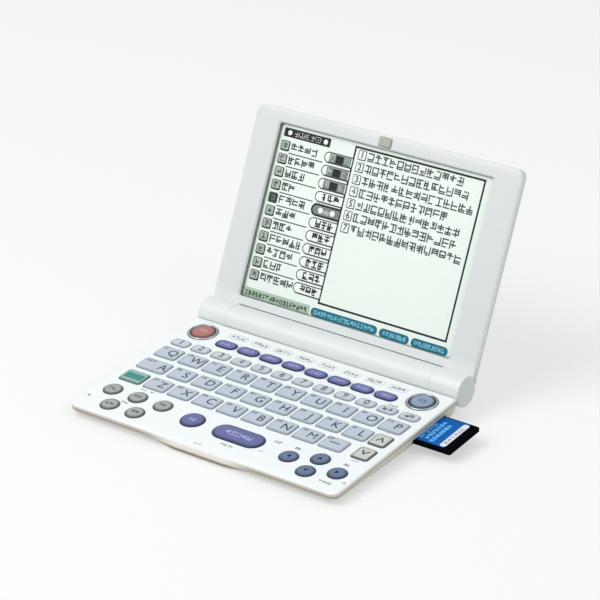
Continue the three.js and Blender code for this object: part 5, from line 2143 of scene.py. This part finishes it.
@dataclass
class MemoryCard:
    """Memory card with its label."""

    left: float = 60.4
    right: float = 92.4
    cut: float = 4.0
    edge: float = 0.5
    soft: float = 0.15
    label_x: float = 75.9
    stripe_x: float = 86.9
    label_inset: float = 0.9
    label_lift: float = 0.03
    print_lift: float = 0.045

    def outline(self, inset: float) -> Ring:
        """Outline of the card with its two cut corners.

        Args:
            inset: even inset all round.

        Returns:
            The outline at height 0.
        """
        x0, x1 = self.left + inset, self.right - inset
        y0, y1 = SIZES.card_y - SIZES.card_half + inset, SIZES.card_y + SIZES.card_half - inset
        corners = [(x0 + self.cut, y0), (x1 - self.edge, y0), (x1, y0 + self.edge), (x1, y1 - self.edge),
                   (x1 - self.edge, y1), (x0, y1), (x0, y0 + self.cut)]
        return [Vector((x, y, 0)) for x, y in corners]

    def build(self) -> None:
        """Makes the card, its label and the stripe on it."""
        f, top, soft, origin, rng = Finishes, SIZES.card_top, self.soft, (0.0, 0.0), random.Random(5)
        low, rear = top - SIZES.card_thickness, SIZES.card_y + SIZES.card_half - self.label_inset
        print_z, middle_y = top + self.print_lift, rear - 10.8
        levels = ((low, soft), (low + soft, 0.0), (top - soft, 0.0), (top, soft))
        body = Shape().stack(self.outline, levels)
        label = Shape().tile((self.label_x, middle_y), (24.9, 21.6), 0.8,
                             top - self.label_lift, top + self.label_lift)
        stripe = Shape().tile((self.stripe_x, middle_y), (3.1, 20.6), 1.3, top, print_z)
        lines = []
        for x, start, count in ((74.4, 6.0, 6), (77.4, 3.2, 7), (80.6, 4.4, 7)):
            line = Shape().strokes(rng, origin, (2.3 * count, 2.1), count, top, print_z, 0.3)
            lines.append(line.upright(x, rear - start - 1.15 * count))
        marks = Shape().strokes(rng, origin, (15.0, 1.6), 6, top, print_z + 0.02, 0.14)
        marks.upright(self.stripe_x, rear - 11.2)
        pieces = (("body", [body], f.card), ("label", [label], f.label), ("stripe", [stripe], f.pale_ink),
                  ("print", lines, f.label_ink), ("marks", [marks], f.grey_ink))
        for part, shapes, finish in pieces:
            name, replaced = f"memory_card_{part}", ["memory_card"] if part == "body" else []
            make_piece(name, joined(meshes(shapes), name), SIZES.deck_place, Body.CARD.value,
                       [finish], replaced)


class Inside:
    """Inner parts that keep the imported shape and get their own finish."""

    def build(self) -> None:
        """Assigns a finish to each carried-over part."""
        f = Finishes
        chosen = {
            "display_window": f.pane, "display_panel": f.ground, "display_flex": f.flex,
            "cell_left": f.cell, "cell_right": f.cell, "contact_negative": f.steel,
            "contact_positive": f.steel, "hinge_pin_left": f.steel, "hinge_pin_right": f.steel,
            "key_sheet": f.sheet, "main_board": f.board, "card_socket": f.steel,
        }
        for name, finish in chosen.items():
            node = frame["nodes"][name]
            if not node.material_slots:
                node.data.materials.append(finish.material)
            for item in node.material_slots:
                item.material = finish.material
            LOG.info("%s keeps its shape with %s", name, finish.name)


# Studio


@dataclass
class Studio:
    """Floor, light and camera."""

    lens: float = 166.24
    sensor: float = 36.0
    place: tuple[float, float, float] = (0.6616, -0.9013, 0.5796)
    azimuth: float = 36.60
    elevation: float = 25.31
    roll: float = -0.706
    ambient: float = 0.62
    floor_half: float = 6.0

    def camera(self) -> None:
        """Makes the camera at the photograph's angle."""
        data = bpy.data.cameras.new("camera")
        data.lens, data.sensor_width, data.sensor_fit = self.lens, self.sensor, "HORIZONTAL"
        data.clip_start, data.clip_end = 0.05, 20.0
        camera = bpy.data.objects.new("camera", data)
        bpy.context.scene.collection.objects.link(camera)
        turn = Matrix.Identity(4)
        for degrees, axis in ((self.azimuth, "Z"), (90 - self.elevation, "X"), (self.roll, "Z")):
            turn = turn @ Matrix.Rotation(math.radians(degrees), 4, axis)
        camera.matrix_world = Matrix.Translation(self.place) @ turn
        bpy.context.scene.camera = camera

    def lamp(self, name: str, place: Vector, size: float, watts: float, colour: Tone) -> None:
        """Adds a square soft lamp that faces the object.

        Args:
            name: name of the lamp.
            place: where it stands, in metres.
            size: edge of the square.
            watts: power.
            colour: written colour of the light.
        """
        data = bpy.data.lights.new(name, "AREA")
        data.size, data.energy, data.color = size, watts, rgba(colour)[:3]
        lamp = bpy.data.objects.new(name, data)
        bpy.context.scene.collection.objects.link(lamp)
        aim = Vector((0, 0, 0.03)) - place
        lamp.matrix_world = Matrix.Translation(place) @ aim.to_track_quat("-Z", "Y").to_matrix().to_4x4()

    def floor(self) -> None:
        """Makes the pale floor, which keeps the object's shadow."""
        size = self.floor_half
        mesh = bpy.data.meshes.new("floor")
        corners = [(-size, -size, 0), (size, -size, 0), (size, size, 0), (-size, size, 0)]
        mesh.from_pydata(corners, [], [(0, 1, 2, 3)])
        graph = Graph("floor_paper")
        rays = graph.node("ShaderNodeLightPath", {}, {}).outputs
        seen = Value(graph, rays["Is Camera Ray"]) + Value(graph, rays["Is Glossy Ray"])
        diffuse = graph.node("ShaderNodeBsdfDiffuse", {}, {0: rgba((244, 244, 244))})
        bright = graph.node("ShaderNodeEmission", {}, {0: WHITE, 1: 1.0})
        ends = {1: diffuse.outputs[0], 2: bright.outputs[0]}
        mix = graph.node("ShaderNodeMixShader", {}, {0: seen * 0.5, **ends})
        graph.node("ShaderNodeOutputMaterial", {}, {0: mix.outputs[0]})
        mesh.materials.append(graph.material)
        floor = bpy.data.objects.new("floor", mesh)
        bpy.context.scene.collection.objects.link(floor)

    def world(self) -> None:
        """Makes an even surround that shows white behind the object."""
        world = bpy.data.worlds.new("surround")
        world.use_nodes = True
        tree = Tree(world.node_tree)
        rays = tree.node("ShaderNodeLightPath", {}, {}).outputs
        seen = Value(tree, rays["Is Camera Ray"])
        for other in ("Is Glossy Ray", "Is Transmission Ray"):
            seen = seen.most(Value(tree, rays[other]))
        plain = tree.node("ShaderNodeBackground", {}, {0: (0.97, 0.985, 1.0, 1.0), 1: self.ambient})
        white = tree.node("ShaderNodeBackground", {}, {0: WHITE, 1: 1.0})
        mix = tree.node("ShaderNodeMixShader", {}, {0: seen, 1: plain.outputs[0], 2: white.outputs[0]})
        tree.node("ShaderNodeOutputWorld", {}, {0: mix.outputs[0]})
        bpy.context.scene.world = world

    def build(self) -> None:
        """Makes the whole studio."""
        self.camera()
        self.floor()
        self.world()
        self.lamp("key_lamp", Vector((-0.5, -0.7, 1.1)), 0.9, 9.6, (255, 253, 250))
        self.lamp("side_lamp", Vector((1.1, 0.1, 0.8)), 0.8, 2.4, (250, 252, 255))
        bpy.context.scene.view_settings.view_transform = "Standard"


def main() -> None:
    """Builds the sub-assemblies in order."""
    logging.basicConfig(level=logging.INFO, format="%(message)s")
    keys = KeyField()
    keys.build()
    KeyboardCase(keys.outlines()).build()
    for part in (DeckPrint(), DisplayHalf(), DisplayImage(), MemoryCard(), Inside(), Studio()):
        part.build()


if __name__ == "__main__":
    main()
